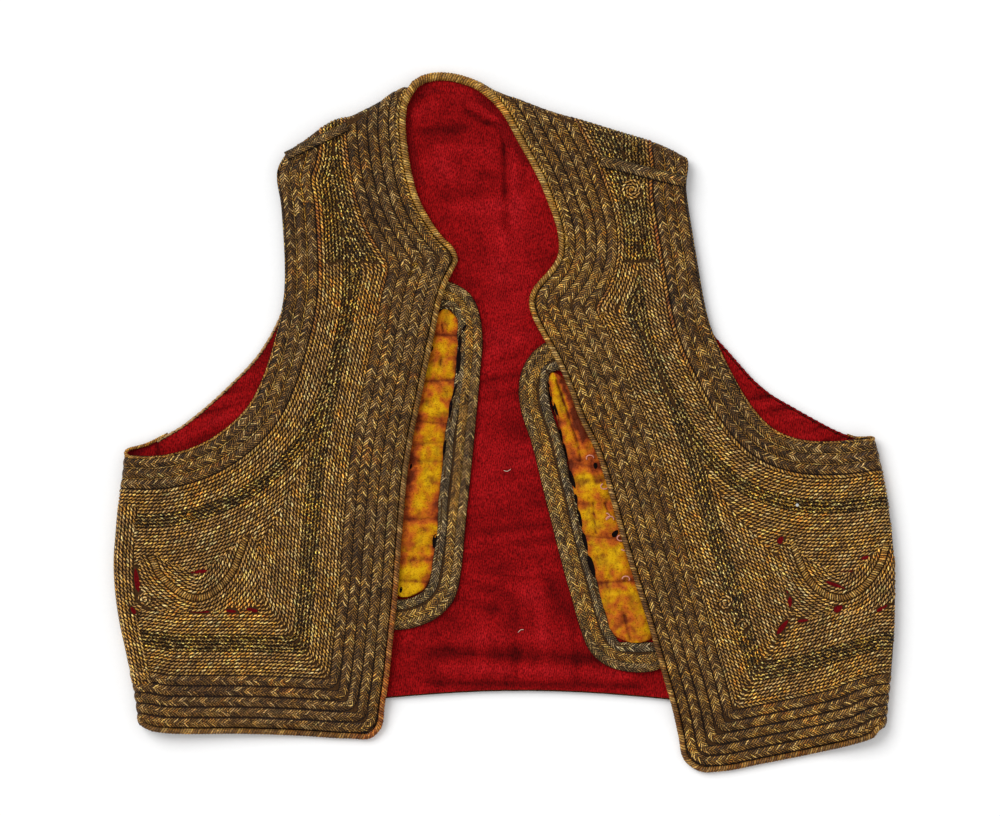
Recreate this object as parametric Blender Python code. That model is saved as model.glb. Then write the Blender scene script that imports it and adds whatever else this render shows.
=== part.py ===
"""An embroidered waistcoat laid flat on a table, face up and open down the front.

World frame: +Z up from the table, +Y towards the neck, +X towards the wearer's left.
Tables and sizes are in millimetres.  In the tables of one side, `out` is the distance from the
middle line towards that side and `up` is +Y, so that both fronts are cut by the same functions.
"""

import math

import bmesh
import bpy
import numpy as np
from mathutils import geometry

MM = 0.001
MIDDLE = np.array([0.25, -0.74, 0.0])   # the middle of the whole piece in the tables' own frame

# Cloth and trim
WALL = 3.0            # embroidered cloth with its backing
SEAM_GAP = 0.3        # between two pieces
CORD_RADIUS = 2.0     # twisted cord on the neck, the front edges and the hems
CORD_TRIM = 0.9       # each of two cords stops this far from the corner where they meet
BRAID = 7.4           # one row of flat braid
BRAID_RISE = 0.9      # crest of a braid row over its valleys
FIELD_RISE = 0.5      # couched field over the valleys
EDGE_ROWS = 5         # braid rows along neck, front and hem
ARMHOLE_ROWS = 3      # braid rows along each armhole
LINING = 1.0
STEP = 10.0           # spacing of points along an edge

# Layers over the table
LINING_BASE = WALL + SEAM_GAP
LAYER_BASE = LINING_BASE + LINING + SEAM_GAP
PLACKET_WALL = 2.2
PLACKET_BRAID = 5.7
PLACKET_RISE = 0.8
SILK_RIM = 0.9
SILK_PUFF = 1.9
FRONT_REST = LAYER_BASE + 0.4
OVER_PLACKET = LAYER_BASE + PLACKET_WALL + PLACKET_RISE + SEAM_GAP

# Side folds, where a front turns under, and shoulder folds, where the back turns over
FOLD_REACH = 5.0
SIDE_HEIGHT = 11.0
SHOULDER_HEIGHT = 9.5
UNDER_LIP = 6.0

# A front stays up for a margin past the placket or the back's hem, and then falls
PLACKET_MARGIN = 6.0
PLACKET_FALL = 22.0
HEM_MARGIN = 3.0
HEM_FALL = 16.0
SIDE_SLOPE = 45.0     # a front rises towards its side fold over this width
ARMPIT_SLOPE = 35.0   # and over this length below the armhole
SEAM_SLOPE = 40.0     # and over this length below the shoulder seam
SEAM_CLEAR = 5.0      # no braid row beside the shoulder seam, where the strip lies
SEAM_FADE = 7.0

# Neck, front edge and hem of each side, along the middle of the cord: out, up
RIGHT_EDGE = (
    (66, 231.5), (69.5, 225), (71.5, 213), (70.5, 194), (67.5, 175),
    (62, 155.5), (53.5, 140), (44.5, 128), (37, 120.5), (34.5, 114),
    (37.5, 107), (42.5, 96.5), (46.5, 83.5), (50, 66), (55, 42),
    (60.5, 15.5), (65.5, -9), (69.5, -33.5), (72.5, -65), (74.5, -91),
    (76.5, -119), (80, -152.5), (83, -180.5), (86, -200), (88, -213.5),
    (93.5, -219.5), (108, -220), (143, -218), (185, -216.5), (223.5, -216.5),
    (246.5, -215.5), (257, -213.5),
)
RIGHT_SEAM_ROW = 1    # the row where the shoulder seam meets the neck
RIGHT_CORNER_ROW = 9  # the row where the neck turns into the front edge
LEFT_EDGE = (
    (-16.5, 234), (-9, 228), (-2, 220.5), (4.5, 210.5), (11, 198),
    (19, 184), (27, 168.5), (32.5, 154.5), (37.5, 140.5), (40, 127.5),
    (39, 115.5), (32.5, 105), (25.5, 97.5), (20.5, 90.5), (19, 83.5),
    (21.5, 74), (27, 63), (34, 50.5), (41, 37), (46.5, 24),
    (54, 3.5), (65, -19), (73, -42.5), (82, -75.5), (92, -108.5),
    (102, -140), (111, -171.5), (120, -203), (124, -221), (127.5, -236),
    (137, -243), (152, -243), (179, -238), (214, -231), (242, -224.5),
    (258, -220), (266.5, -215),
)
LEFT_SEAM_ROW = 4
LEFT_CORNER_ROW = 14

# Armhole edge of each front, from the side fold to the shoulder: out, up
RIGHT_ARMHOLE = (
    (265.5, -24.5), (242.5, -25), (223.5, -21), (208, -14.5), (192, -3.5),
    (178, 11), (168.5, 29.5), (161.5, 50.5), (156.5, 70), (153, 89),
    (152.5, 110), (153.5, 131), (155, 152), (156, 176),
)
LEFT_ARMHOLE = (
    (258.5, -11.5), (242, -14), (225, -15), (209, -14), (196.5, -10.5),
    (186, -5), (177, 4), (168.5, 15.5), (160, 30), (152, 46),
    (145, 61), (140.5, 75), (137, 92.5), (133.5, 113.5), (130, 134.5),
    (127, 153.5), (125.5, 167),
)

# Outermost line of each side fold: up, out
RIGHT_SIDE = (
    (-213.5, 256), (-199, 257.5), (-182, 260), (-161, 264), (-140, 268.5),
    (-119, 271.5), (-96.5, 272.5), (-75.5, 271), (-58, 269.5), (-40.5, 267.5), (-23, 265.5),
)
LEFT_SIDE = (
    (-217, 266.5), (-189, 269), (-168, 271), (-145.5, 272.5), (-117.5, 273),
    (-91, 272), (-69.5, 270), (-51, 267), (-35, 264), (-21, 261), (-10.5, 258),
)

# Top line of each shoulder fold: out, up
RIGHT_SHOULDER = (
    (70.5, 234.5), (79, 230.5), (87, 224.5), (97.5, 219), (108, 214),
    (118.5, 211.5), (129, 205.5), (139.5, 197.5), (150, 190.5), (156.5, 183),
)
LEFT_SHOULDER = (
    (-18, 238), (-3, 230.5), (7.5, 227), (28.5, 219), (53, 211.5),
    (81, 203), (105.5, 195.5), (117, 190.5), (127, 185),
)
# Where each shoulder fold ends at the neck, measured outwards: under, tip, on top
RIGHT_FOLD_ENDS = (67.0, 69.0, 71.0)
LEFT_FOLD_ENDS = (-18.0, -16.0, -3.5)

# Armhole edge of the back, from the side to the shoulder fold: out, up
RIGHT_BACK_ARMHOLE = (
    (261.5, -24), (251.5, -17.5), (239.5, -10.5), (226.5, -3), (213, 7.5),
    (192, 26.5), (172.5, 47.5), (158, 73), (151.5, 91), (149.5, 112),
    (149.5, 133), (150.5, 154), (152, 178),
)
LEFT_BACK_ARMHOLE = (
    (251, -12.5), (240.5, -9.5), (230, -5), (215, 3), (200, 11.5),
    (187, 19), (175.5, 28.5), (165, 40), (154.5, 52), (146, 61.5),
    (138, 75.5), (133, 92.5), (129, 113.5), (126, 134.5), (123, 153.5),
    (121.5, 166.5), (121.5, 182),
)

# Hem of the back, right to left: x, y
BACK_HEM = (
    (-262, -211), (-248, -210.5), (-213, -208.5), (-171, -203.5), (-129, -199), (-81.5, -193.5),
    (-52, -191), (-17, -189), (18, -188.5), (53, -189.5), (88, -192),
    (114.5, -194.5), (151, -200), (193, -206.5), (235, -212), (263, -214.5),
)
# Neck of the back, left to right as seen from the front: x, y
BACK_NECK = ((-65, 231.5), (-56.5, 236), (-45, 238.5), (-31, 236.5), (-21.5, 233))
# The neck cord over the back neck, between the two shoulder folds: x, y, z
NECK_ARC = (
    (-62.5, 236.5, 7.2), (-57, 240, 4.8), (-51, 241.8, 3.0), (-45, 242.3, 2.5),
    (-38, 241.8, 2.5), (-31, 240.4, 2.7), (-24, 238, 4.8), (-19, 235.8, 7.2),
)

# Outline of each placket: out, up
RIGHT_PLACKET = (
    (52, 98.5), (40, 98.5), (31, 95), (23.5, 89), (18, 77),
    (15.5, 59), (17, 36.5), (19.5, 8.5), (23.5, -33.5), (27.5, -72),
    (31, -107), (34.5, -122.5), (44.5, -135), (59, -142.5), (76.5, -145.5),
    (90.5, -141.5), (99, -127.5), (98.5, -103.5), (91.5, -54.5), (83, 1.5),
    (76, 50.5), (70.5, 80), (62.5, 94),
)
LEFT_PLACKET = (
    (30.5, 56.5), (20.5, 49.5), (13, 38), (10, 24), (12, 6.5),
    (18.5, -12.5), (25.5, -40.5), (32.5, -68.5), (40, -98), (48, -126.5),
    (54, -147), (60.5, -161.5), (70.5, -170), (88, -175), (107.5, -173.5),
    (122, -164.5), (125.5, -150), (117, -117.5), (102, -65), (88, -19.5),
    (72.5, 26), (60, 48.5), (45, 58),
)
# Silk strip in each placket's window: up, near edge, far edge, gap between near edge and braid
RIGHT_SILK = (
    (79, 37.5, 46.5, 1.0), (71.5, 33, 53.5, 1.0), (54, 32.5, 60, 2.4), (33, 34, 65, 2.6),
    (12, 37.5, 69, 1.8), (-9, 41.5, 73, 1.2), (-30, 43, 76, 1.4), (-51, 46, 78, 1.6),
    (-72, 46.5, 79.5, 1.8), (-89.5, 48.5, 80.5, 1.6), (-107, 51.5, 81.5, 1.4),
    (-117.5, 56.5, 81.5, 1.0), (-122.5, 62.5, 79, 1.0),
)
LEFT_SILK = (
    (34.5, 31, 39, 1.0), (26, 31.5, 47, 1.4), (12, 34.5, 54, 2.6), (-5.5, 39.5, 61, 2.4),
    (-26.5, 45, 71, 1.4), (-47.5, 48.5, 79, 2.0), (-68.5, 52.5, 88, 1.4), (-89.5, 57.5, 95.5, 2.6),
    (-110.5, 64, 103, 2.0), (-131.5, 69.5, 109.5, 1.2), (-145.5, 74, 111.5, 1.0),
    (-154.5, 80, 105.5, 1.0),
)
SILK_PUFFS = 12

# Braid strip over each shoulder seam, from the neck rows to the armhole: x, y of its two ends
LEFT_STRIP = ((67.5, 182.5), (124, 168.5))
RIGHT_STRIP = ((-110, 206.5), (-150, 183.5))
STRIP_WIDTH = 8.4
STRIP_HEIGHT = 1.5

# Soft creases in the lining: x and y of two ends, height, half width
LINING_CREASES = (
    (-2, 205, -3, 150, 0.5, 5),
    (-60, 212, -12, 204, 0.5, 6),
    (-48, 176, 8, 174, 0.4, 6),
    (-40, -160, 50, -152, 0.5, 7),
    (30, -110, 36, -170, 0.5, 6),
)


def clear_scene():
    for item in list(bpy.data.objects):
        bpy.data.objects.remove(item, do_unlink=True)


def finish_of(name, colour, roughness, metallic=0.0):
    material = bpy.data.materials.get(name) or bpy.data.materials.new(name)
    material.use_nodes = True
    shader = material.node_tree.nodes["Principled BSDF"]
    shader.inputs["Base Color"].default_value = (*colour, 1.0)
    shader.inputs["Roughness"].default_value = roughness
    shader.inputs["Metallic"].default_value = metallic
    return material


# Curves in the plane

def smooth(rows, step=STEP, closed=False):
    """Points about `step` apart on a smooth curve through the rows, and the place of each row."""
    knots = np.array(rows, float)
    if closed:
        ring = np.vstack([knots[-1:], knots, knots[:2]])
    else:
        ring = np.vstack([2 * knots[0] - knots[1], knots, 2 * knots[-1] - knots[-2]])
    chords = np.linalg.norm(np.diff(ring, axis=0), axis=1)
    slopes = np.diff(ring, axis=0) / chords[:, None]
    before, after = chords[:-1, None], chords[1:, None]
    tangents = (slopes[:-1] * after + slopes[1:] * before) / (before + after)
    points, places = [], []
    for i in range(len(ring) - 3):
        places.append(len(points))
        pieces = max(1, round(chords[i + 1] / step))
        for t in np.arange(pieces) / pieces:
            start, end = ring[i + 1], ring[i + 2]
            pull, push = tangents[i] * chords[i + 1], tangents[i + 1] * chords[i + 1]
            points.append((2 * t**3 - 3 * t**2 + 1) * start + (t**3 - 2 * t**2 + t) * pull
                          + (3 * t**2 - 2 * t**3) * end + (t**3 - t**2) * push)
    if not closed:
        places.append(len(points))
        points.append(knots[-1])
    return np.array(points), places


def level(rows, value):
    """Second column of a smooth curve through the rows, at a value of the first."""
    line = smooth(rows, 4.0)[0]
    line = line[np.argsort(line[:, 0])]
    return np.interp(value, line[:, 0], line[:, 1])


def distance(points, line, closed=False):
    """Distance of each point to a line of points."""
    points = np.atleast_2d(points)
    starts = line if closed else line[:-1]
    ends = np.roll(line, -1, axis=0) if closed else line[1:]
    runs = ends - starts
    offset = points[:, None] - starts
    along = np.clip((offset * runs).sum(2) / (runs**2).sum(1), 0, 1)
    return np.linalg.norm(offset - along[..., None] * runs, axis=2).min(1)


def inside(point, ring):
    x, y = point
    x0, y0 = ring[:, 0], ring[:, 1]
    x1, y1 = np.roll(x0, -1), np.roll(y0, -1)
    crosses = (y0 > y) != (y1 > y)
    rise = np.where(y1 == y0, 1.0, y1 - y0)
    return bool(np.count_nonzero(crosses & (x < (x1 - x0) * (y - y0) / rise + x0)) % 2)


def moved(line, depth, closed=False):
    """The line's points moved to its left by `depth`, each along its own normal."""
    if closed:
        along = np.roll(line, -1, axis=0) - np.roll(line, 1, axis=0)
    else:
        along = np.gradient(line, axis=0)
    along /= np.linalg.norm(along, axis=1)[:, None]
    return line + depth * np.stack([-along[:, 1], along[:, 0]], axis=1)


def row_line(line, depth, closed=False):
    """A row parallel to an edge: the moved points, mitred where rows from two sides meet."""
    points = moved(line, depth, closed)
    points = points[distance(points, line, closed) > depth - 0.15]
    kept = [points[0]]
    for point in points[1:]:
        if np.linalg.norm(point - kept[-1]) > 0.45 * STEP:
            kept.append(point)
    return np.array(kept)


def ease(value):
    value = np.clip(value, 0.0, 1.0)
    return value * value * (3 - 2 * value)


def crest(depth, pitch, rise):
    """Height of a braid row: 0 in the valleys at whole pitches, `rise` half way between them."""
    share = depth / pitch % 1.0
    return rise * (1 - abs(2 * share - 1))


# Solids

def add_object(name, mesh, material, rounded=True):
    mesh.materials.append(material)
    item = bpy.data.objects.new(name, mesh)
    bpy.context.scene.collection.objects.link(item)
    if rounded:
        mesh.shade_smooth()
        mesh.set_sharp_from_angle(angle=math.radians(50))
    return item


def solid(name, points, faces, material):
    """A closed body from points in millimetres, with its faces turned outwards."""
    form = bmesh.new()
    corners = [form.verts.new((np.asarray(p, float) - MIDDLE) * MM) for p in points]
    for face in faces:
        form.faces.new([corners[i] for i in face])
    bmesh.ops.recalc_face_normals(form, faces=form.faces)
    if form.calc_volume(signed=True) < 0:
        bmesh.ops.reverse_faces(form, faces=form.faces)
    mesh = bpy.data.meshes.new(name)
    form.to_mesh(mesh)
    form.free()
    return add_object(name, mesh, material)


def triangles(rings, lines, spacing, clear):
    """Triangles over a region: its rings, rows inside it and a loose fill of points.

    The first ring is the outline, and others are holes.  A row or a fill point keeps off the rings.
    """
    points, edges = [], []
    for ring in rings:
        start = len(points)
        points += list(ring)
        edges += [(start + i, start + (i + 1) % len(ring)) for i in range(len(ring))]
    border = len(points)

    def free(point):
        if not inside(point, rings[0]) or any(inside(point, hole) for hole in rings[1:]):
            return False
        return min(distance(point, ring, True)[0] for ring in rings) > clear

    def joined(start, end):
        near = np.linalg.norm(end - start) < 2.6 * STEP
        return near and all(free(start + (end - start) * share) for share in (0.25, 0.5, 0.75))

    for line in lines:
        last = None
        for point in line:
            if not free(point):
                last = None
                continue
            points.append(point)
            if last is not None and joined(points[last], point):
                edges.append((last, len(points) - 1))
            last = len(points) - 1
    low, high = rings[0].min(0), rings[0].max(0)
    taken = np.array(points)
    for j, y in enumerate(np.arange(low[1] + spacing / 2, high[1], spacing * 0.87)):
        for x in np.arange(low[0] + spacing * (0.25 + 0.5 * (j % 2)), high[0], spacing):
            point = np.array([x, y])
            if free(point) and np.linalg.norm(taken - point, axis=1).min() > 0.6 * spacing:
                points.append(point)
    flat, _, faces, origins, _, _ = geometry.delaunay_2d_cdt(
        [tuple(p) for p in points], edges, [], 1, 1e-4)
    flat = np.array([tuple(p) for p in flat])
    rim = [0] * border
    for place, names in enumerate(origins):
        for name in names:
            if name < border:
                rim[name] = place
    holes = rings[1:]
    faces = [face for face in faces
             if not any(inside(flat[list(face)].mean(0), hole) for hole in holes)]
    return flat, faces, rim


def cloth(name, rings, rows, bends, place, material, spacing=(16.0, 26.0), clear=1.6):
    """A wall of cloth: rows raised in its outer points over a plain inside.

    `place(points, outer)` gives each flat point its place in the world.  Rows are only on the
    outer face and bends are on both.
    """
    outer, outer_faces, outer_rim = triangles(rings, list(rows) + list(bends), spacing[0], clear)
    inner, inner_faces, inner_rim = triangles(rings, list(bends), spacing[1], clear)
    points = np.vstack([place(outer, True), place(inner, False)])
    first = len(outer)
    faces = [tuple(face) for face in outer_faces]
    faces += [tuple(first + i for i in reversed(face)) for face in inner_faces]
    start = 0
    for ring in rings:
        count = len(ring)
        for i in range(count):
            a, b = start + i, start + (i + 1) % count
            faces.append((outer_rim[b], outer_rim[a], first + inner_rim[a], first + inner_rim[b]))
        start += count
    return solid(name, points, faces, material)


def cord(name, line, material):
    """A round cord along a line of points, with flat ends."""
    curve = bpy.data.curves.new(name, "CURVE")
    curve.dimensions = "3D"
    curve.bevel_depth = CORD_RADIUS * MM
    curve.bevel_resolution = 1
    curve.use_fill_caps = True
    spline = curve.splines.new("POLY")
    spline.points.add(len(line) - 1)
    for point, place in zip(spline.points, line):
        point.co = (*((place - MIDDLE) * MM), 1.0)
    curve.materials.append(material)
    item = bpy.data.objects.new(name, curve)
    bpy.context.scene.collection.objects.link(item)
    return item


def roll(past, height, lift):
    """Fold cloth over a rounded edge.

    `past` is how far a flat point lies past the fold's outermost line, and `lift` is its height
    over the inner face.  Gives its place across the fold, and its height over the fold's middle.
    """
    turn = math.pi * (FOLD_REACH + height / 2) / 2
    angle = np.clip((past + FOLD_REACH) / turn, 0.0, 1.0) * math.pi
    beyond = np.maximum(past + FOLD_REACH - turn, 0.0)
    before = np.minimum(past + FOLD_REACH, 0.0)
    across = FOLD_REACH - WALL + lift
    upright = height / 2 - WALL + lift
    return (before - beyond - FOLD_REACH + across * np.sin(angle), upright * np.cos(angle))


def roll_length(height):
    """How far the flat cloth runs past the outermost line until it has turned right over."""
    return math.pi * (FOLD_REACH + height / 2) / 2 - FOLD_REACH


BEND_SHARES = (0.0, 0.17, 0.34, 0.5, 0.66, 0.83, 1.0)


class Side:
    """One side of the waistcoat: its tables, and the lines worked out from them."""

    def __init__(self, sign, edge, seam_row, corner_row, armhole, back_armhole, fold, shoulder,
                 fold_ends, placket, silk):
        self.sign = sign
        self.fold = fold
        self.shoulder = shoulder
        self.fold_ends = fold_ends
        self.silk = silk
        line, places = smooth(edge)
        self.seam = places[seam_row]
        self.corner = places[corner_row]
        self.edge = np.vstack([self.on_top(line), self.across_fold(edge[-1][1])])
        self.cloth_edge = moved(self.edge, CORD_RADIUS + SEAM_GAP)
        turn_to_top = self.across_fold(armhole[0][1])[::-1]
        self.armhole = np.vstack([turn_to_top, self.on_top(smooth(armhole)[0])])
        self.back_armhole = smooth(back_armhole, 14.0)[0]
        self.placket = smooth(placket, 12.0, closed=True)[0]
        self.seam_line = np.array([self.cloth_edge[self.seam], self.armhole[-1]])

    def on_top(self, line):
        """The part of a line of points that hasn't reached the side fold."""
        return line[line[:, 0] < level(self.fold, line[:, 1]) - FOLD_REACH - 1.5]

    def across_fold(self, up):
        """Flat points across the side fold and its under lip, at one height up the garment."""
        start = level(self.fold, up) - FOLD_REACH
        turn = roll_length(SIDE_HEIGHT) + FOLD_REACH
        outs = [start + turn * share for share in BEND_SHARES] + [start + turn + UNDER_LIP]
        return np.array([(out, up) for out in outs])

    def world(self, flat, height):
        return np.column_stack([self.sign * flat[:, 0], flat[:, 1], height])

    def hem_of_back(self, out):
        return level(BACK_HEM, self.sign * out)

    def seam_up(self, out):
        (x0, y0), (x1, y1) = self.seam_line
        return y0 + (out - x0) * (y1 - y0) / (x1 - x0)


def relief(side, points):
    """Height of the braid rows and the couched field over the plain inside wall."""
    from_edge = distance(points, side.cloth_edge)
    from_armhole = distance(points, side.armhole)
    field = np.where(from_armhole < ARMHOLE_ROWS * BRAID,
                     crest(from_armhole, BRAID, BRAID_RISE), FIELD_RISE)
    field = field * ease((distance(points, side.seam_line) - SEAM_CLEAR) / SEAM_FADE)
    return np.where(from_edge < EDGE_ROWS * BRAID, crest(from_edge, BRAID, BRAID_RISE), field)


def front_height(side, points):
    """Height of a front's inner face: over the lining, the placket, the side and the hem."""
    out, up = points[:, 0], points[:, 1]
    inward = level(side.fold, up) - FOLD_REACH - out
    armpit = side.armhole[0][1]
    at_side = ease(1 - inward / SIDE_SLOPE) * ease((armpit + ARMPIT_SLOPE - up) / ARMPIT_SLOPE)
    from_placket = distance(points, side.placket, True)
    over = np.clip(1 - (from_placket - PLACKET_MARGIN) / PLACKET_FALL, 0.0, 1.0)
    over = np.where([inside(p, side.placket) for p in points], 1.0, over)
    at_shoulder = ease(1 - distance(points, side.seam_line) / SEAM_SLOPE)
    rise = np.maximum.reduce([
        at_side * (SIDE_HEIGHT - WALL - FRONT_REST),
        over * (OVER_PLACKET + 0.2 - FRONT_REST),
        at_shoulder * (SHOULDER_HEIGHT - WALL - FRONT_REST),
    ])
    below_back = ease((side.hem_of_back(out) - HEM_MARGIN - up) / HEM_FALL) * (1 - at_side)
    return (FRONT_REST + rise) * (1 - below_back)


def place_front(side, points, lift):
    """Where flat points of a front lie, `lift` over its inner face."""
    past = points[:, 0] - level(side.fold, points[:, 1])
    across, upright = roll(past, SIDE_HEIGHT, lift)
    turned = past > -FOLD_REACH
    out = np.where(turned, points[:, 0] - past + across, points[:, 0])
    height = np.where(turned, SIDE_HEIGHT / 2 + upright, front_height(side, points) + lift)
    return side.world(np.column_stack([out, points[:, 1]]), height)


def make_front(name, side, material):
    """A front: braid rows along neck, edge, hem and armhole, turned under at the side."""
    neck_and_front = side.cloth_edge[side.seam:].copy()
    neck_and_front[0, 1] -= SEAM_GAP
    shoulder_end = side.armhole[-1] - (0.0, SEAM_GAP)
    outs = np.linspace(shoulder_end[0], neck_and_front[0, 0], 9)[1:-1]
    seam = np.column_stack([outs, side.seam_up(outs) - SEAM_GAP])
    low, high = side.cloth_edge[-1][1], side.armhole[0][1]
    ups = np.linspace(low, high, 14)[1:-1]
    under = np.vstack([side.across_fold(up)[-1] for up in ups])
    ring = np.vstack([neck_and_front, under, side.armhole[:-1], shoulder_end, seam])
    rows = [row_line(side.cloth_edge, k * BRAID / 2) for k in range(1, 2 * EDGE_ROWS + 1)]
    for k in range(1, 2 * ARMHOLE_ROWS + 1):
        line = row_line(side.armhole, k * BRAID / 2)
        rows.append(line[distance(line, side.cloth_edge) > EDGE_ROWS * BRAID + 3.0])
    turn = roll_length(SIDE_HEIGHT) + FOLD_REACH
    ups = np.linspace(low + 5.0, high - 5.0, 14)
    starts = level(side.fold, ups) - FOLD_REACH
    bends = [np.column_stack([starts + turn * share, ups]) for share in BEND_SHARES]
    for away in (PLACKET_MARGIN, PLACKET_MARGIN + PLACKET_FALL):
        around = moved(side.placket, -away, closed=True)
        bends.append(np.vstack([around, around[:1]]))
    hem = smooth(BACK_HEM, 16.0)[0] * (side.sign, 1)
    bends += [hem - (0.0, HEM_MARGIN + HEM_FALL * share) for share in (0.0, 0.5, 1.0)]

    def place(points, outer):
        if not outer:
            return place_front(side, points, 0.0)
        past = points[:, 0] - level(side.fold, points[:, 1])
        fade = 1 - ease((past + FOLD_REACH) / turn * 2.0 - 0.9)
        return place_front(side, points, WALL + relief(side, points) * fade)

    return cloth(name, [ring], rows, bends, place, material)


# Back

def over_shoulder(side, outs, share):
    """Flat points of the back on a shoulder fold, at a share of its turn from 0 to 1."""
    turn = roll_length(SHOULDER_HEIGHT) + FOLD_REACH
    return np.column_stack([outs, level(side.shoulder, outs) - FOLD_REACH + turn * share])


def unfolded(side, points):
    """Flat points of the back's end over the shoulder, from where they lie on top."""
    turned = over_shoulder(side, points[:, 0], 1.0)
    past = level(side.shoulder, points[:, 0]) - FOLD_REACH - points[:, 1]
    return turned + np.column_stack([np.zeros(len(points)), past])


def shoulder_end_ring(side):
    """Flat outline of the back over one shoulder, from the armhole to the neck."""
    arm_out = side.back_armhole[-1][0]
    at_arm = np.vstack([over_shoulder(side, np.array([arm_out]), s) for s in BEND_SHARES])
    outs = np.linspace(arm_out, side.seam_line[0][0], 10)
    seam = np.column_stack([outs, side.seam_up(outs) + SEAM_GAP])
    lower, tip, upper = side.fold_ends
    neck_line = side.cloth_edge[:side.seam][::-1]
    below_fold = neck_line[:, 1] < level(side.shoulder, neck_line[:, 0]) - FOLD_REACH - 1.0
    over_seam = neck_line[:, 1] > side.seam_up(neck_line[:, 0]) + 2.0
    neck_line = neck_line[below_fold & over_seam]
    outs = np.interp(BEND_SHARES[::-1], (0.0, 0.5, 1.0), (lower, tip, upper))
    at_neck = np.vstack([over_shoulder(side, np.array([out]), share)
                         for out, share in zip(outs, BEND_SHARES[::-1])])
    on_top = np.vstack([seam, neck_line])
    return np.vstack([at_arm, unfolded(side, on_top), at_neck])


def side_ring(side, inset, arm_inset, top):
    """Outline of the back or its lining up one side and armhole, flat."""
    start = side.hem_of_back(level(side.fold, side.fold[0][0]) - inset) + arm_inset
    arm = moved(side.back_armhole, arm_inset)
    ups = np.linspace(start, arm[0][1], 12)
    edge = np.column_stack([level(side.fold, ups) - inset, ups])
    arm = arm[(arm[:, 0] < edge[-1][0] - 3.0) & (arm[:, 1] < top)]
    return np.vstack([edge, arm])


def both_sides(left, right, middle, hem):
    """A ring from the hem, up the left side, over the neck and down the right side."""
    inner = (hem[:, 0] > -right[0][0] + 6.0) & (hem[:, 0] < left[0][0] - 6.0)
    return np.vstack([hem[inner], left, middle[::-1], right[::-1] * (-1, 1)])


def make_back(left, right, material):
    """The back, flat on the table, with its two shoulder ends turned over onto the fronts."""
    inset = FOLD_REACH + UNDER_LIP + SEAM_GAP
    rings = []
    rows = []
    bends = []
    for side in (left, right):
        below_fold = level(side.shoulder, side.back_armhole[-1][0]) - FOLD_REACH - 4.0
        rings.append(np.vstack([side_ring(side, inset, 0.0, below_fold),
                                shoulder_end_ring(side)]))
        lower, _, upper = side.fold_ends
        outs = np.linspace(upper + 2.0, side.back_armhole[-1][0] - 2.0, 12)
        for share in BEND_SHARES:
            bends.append(over_shoulder(side, outs, share) * (side.sign, 1))
        for k in range(1, 2 * EDGE_ROWS + 1):
            line = row_line(side.cloth_edge, k * BRAID / 2)
            on_top = line[:, 1] < level(side.shoulder, line[:, 0]) - FOLD_REACH - 1.0
            over_seam = line[:, 1] > side.seam_up(line[:, 0]) + 2.0
            line = line[on_top & over_seam]
            if len(line) > 1:
                rows.append(unfolded(side, line) * (side.sign, 1))
    ring = both_sides(rings[0], rings[1], smooth(BACK_NECK, 9.0)[0], smooth(BACK_HEM, 16.0)[0])

    def place(points, outer):
        x = points[:, 0]
        y = points[:, 1].copy()
        z = np.full(len(points), 0.0 if outer else WALL)
        for side in (left, right):
            out = x * side.sign
            past = points[:, 1] - level(side.shoulder, out)
            here = (past > -FOLD_REACH) & (out > side.fold_ends[0] - 1.0)
            across, upright = roll(past, SHOULDER_HEIGHT, WALL if outer else 0.0)
            flat_y = points[:, 1] - past + across
            height = SHOULDER_HEIGHT / 2 - upright
            if outer:
                turn = roll_length(SHOULDER_HEIGHT) + FOLD_REACH
                on_top = ease((past + FOLD_REACH) / turn * 3.0 - 1.8)
                height = height + on_top * relief(side, np.column_stack([out, flat_y]))
            y = np.where(here, flat_y, y)
            z = np.where(here, height, z)
        return np.column_stack([x, y, z])

    return cloth("back", [ring], rows, bends, place, material, spacing=(34.0, 34.0))


def lining_rise(points):
    """Soft creases of the lining."""
    rise = np.zeros(len(points))
    for x0, y0, x1, y1, height, width in LINING_CREASES:
        start, end = np.array((x0, y0), float), np.array((x1, y1), float)
        inset = (end - start) * (width / np.linalg.norm(end - start))
        away = distance(points, np.array([start + inset, end - inset]))
        rise = np.maximum(rise, height * ease(1 - away / width))
    return rise


def make_lining(left, right, material):
    """The red lining inside the back, which shows at the neck, the front and the armholes."""
    rings = []
    for side in (left, right):
        arm_top = side.back_armhole[-1][0]
        below_fold = level(side.shoulder, arm_top) - FOLD_REACH - 4.0
        outs = np.linspace(arm_top - 3.0, side.fold_ends[0] + 1.0, 10)
        top = np.column_stack([outs, level(side.shoulder, outs) - FOLD_REACH - 1.2])
        rings.append(np.vstack([side_ring(side, FOLD_REACH + 1.6, 2.0, below_fold - 2.0), top]))
    hem = moved(smooth(BACK_HEM, 16.0)[0], 1.0)
    neck = smooth(BACK_NECK, 9.0)[0]
    ring = both_sides(rings[0], rings[1], neck, hem)
    creases = []
    for x0, y0, x1, y1, _, width in LINING_CREASES:
        ridge = np.linspace((x0, y0), (x1, y1), 5)
        creases += [ridge, moved(ridge, width), moved(ridge, -width)]

    def place(points, outer):
        height = LINING_BASE + LINING + lining_rise(points) if outer else LINING_BASE
        return np.column_stack([points, np.broadcast_to(height, len(points))])

    return cloth("lining", [ring], creases, [], place, material, spacing=(34.0, 40.0))


# Plackets and silk

def window_of(side):
    """Outline of the opening in a placket, a little wider than its silk strip."""
    near = np.array([(row[1] - row[3], row[0]) for row in side.silk], float)
    far = np.array([(row[2] + 1.0, row[0]) for row in side.silk], float)
    near[0, 1] += 1.6
    far[0, 1] += 1.6
    near[-1, 1] -= 1.6
    far[-1, 1] -= 1.6
    return np.vstack([near[::-1], far])


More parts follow.
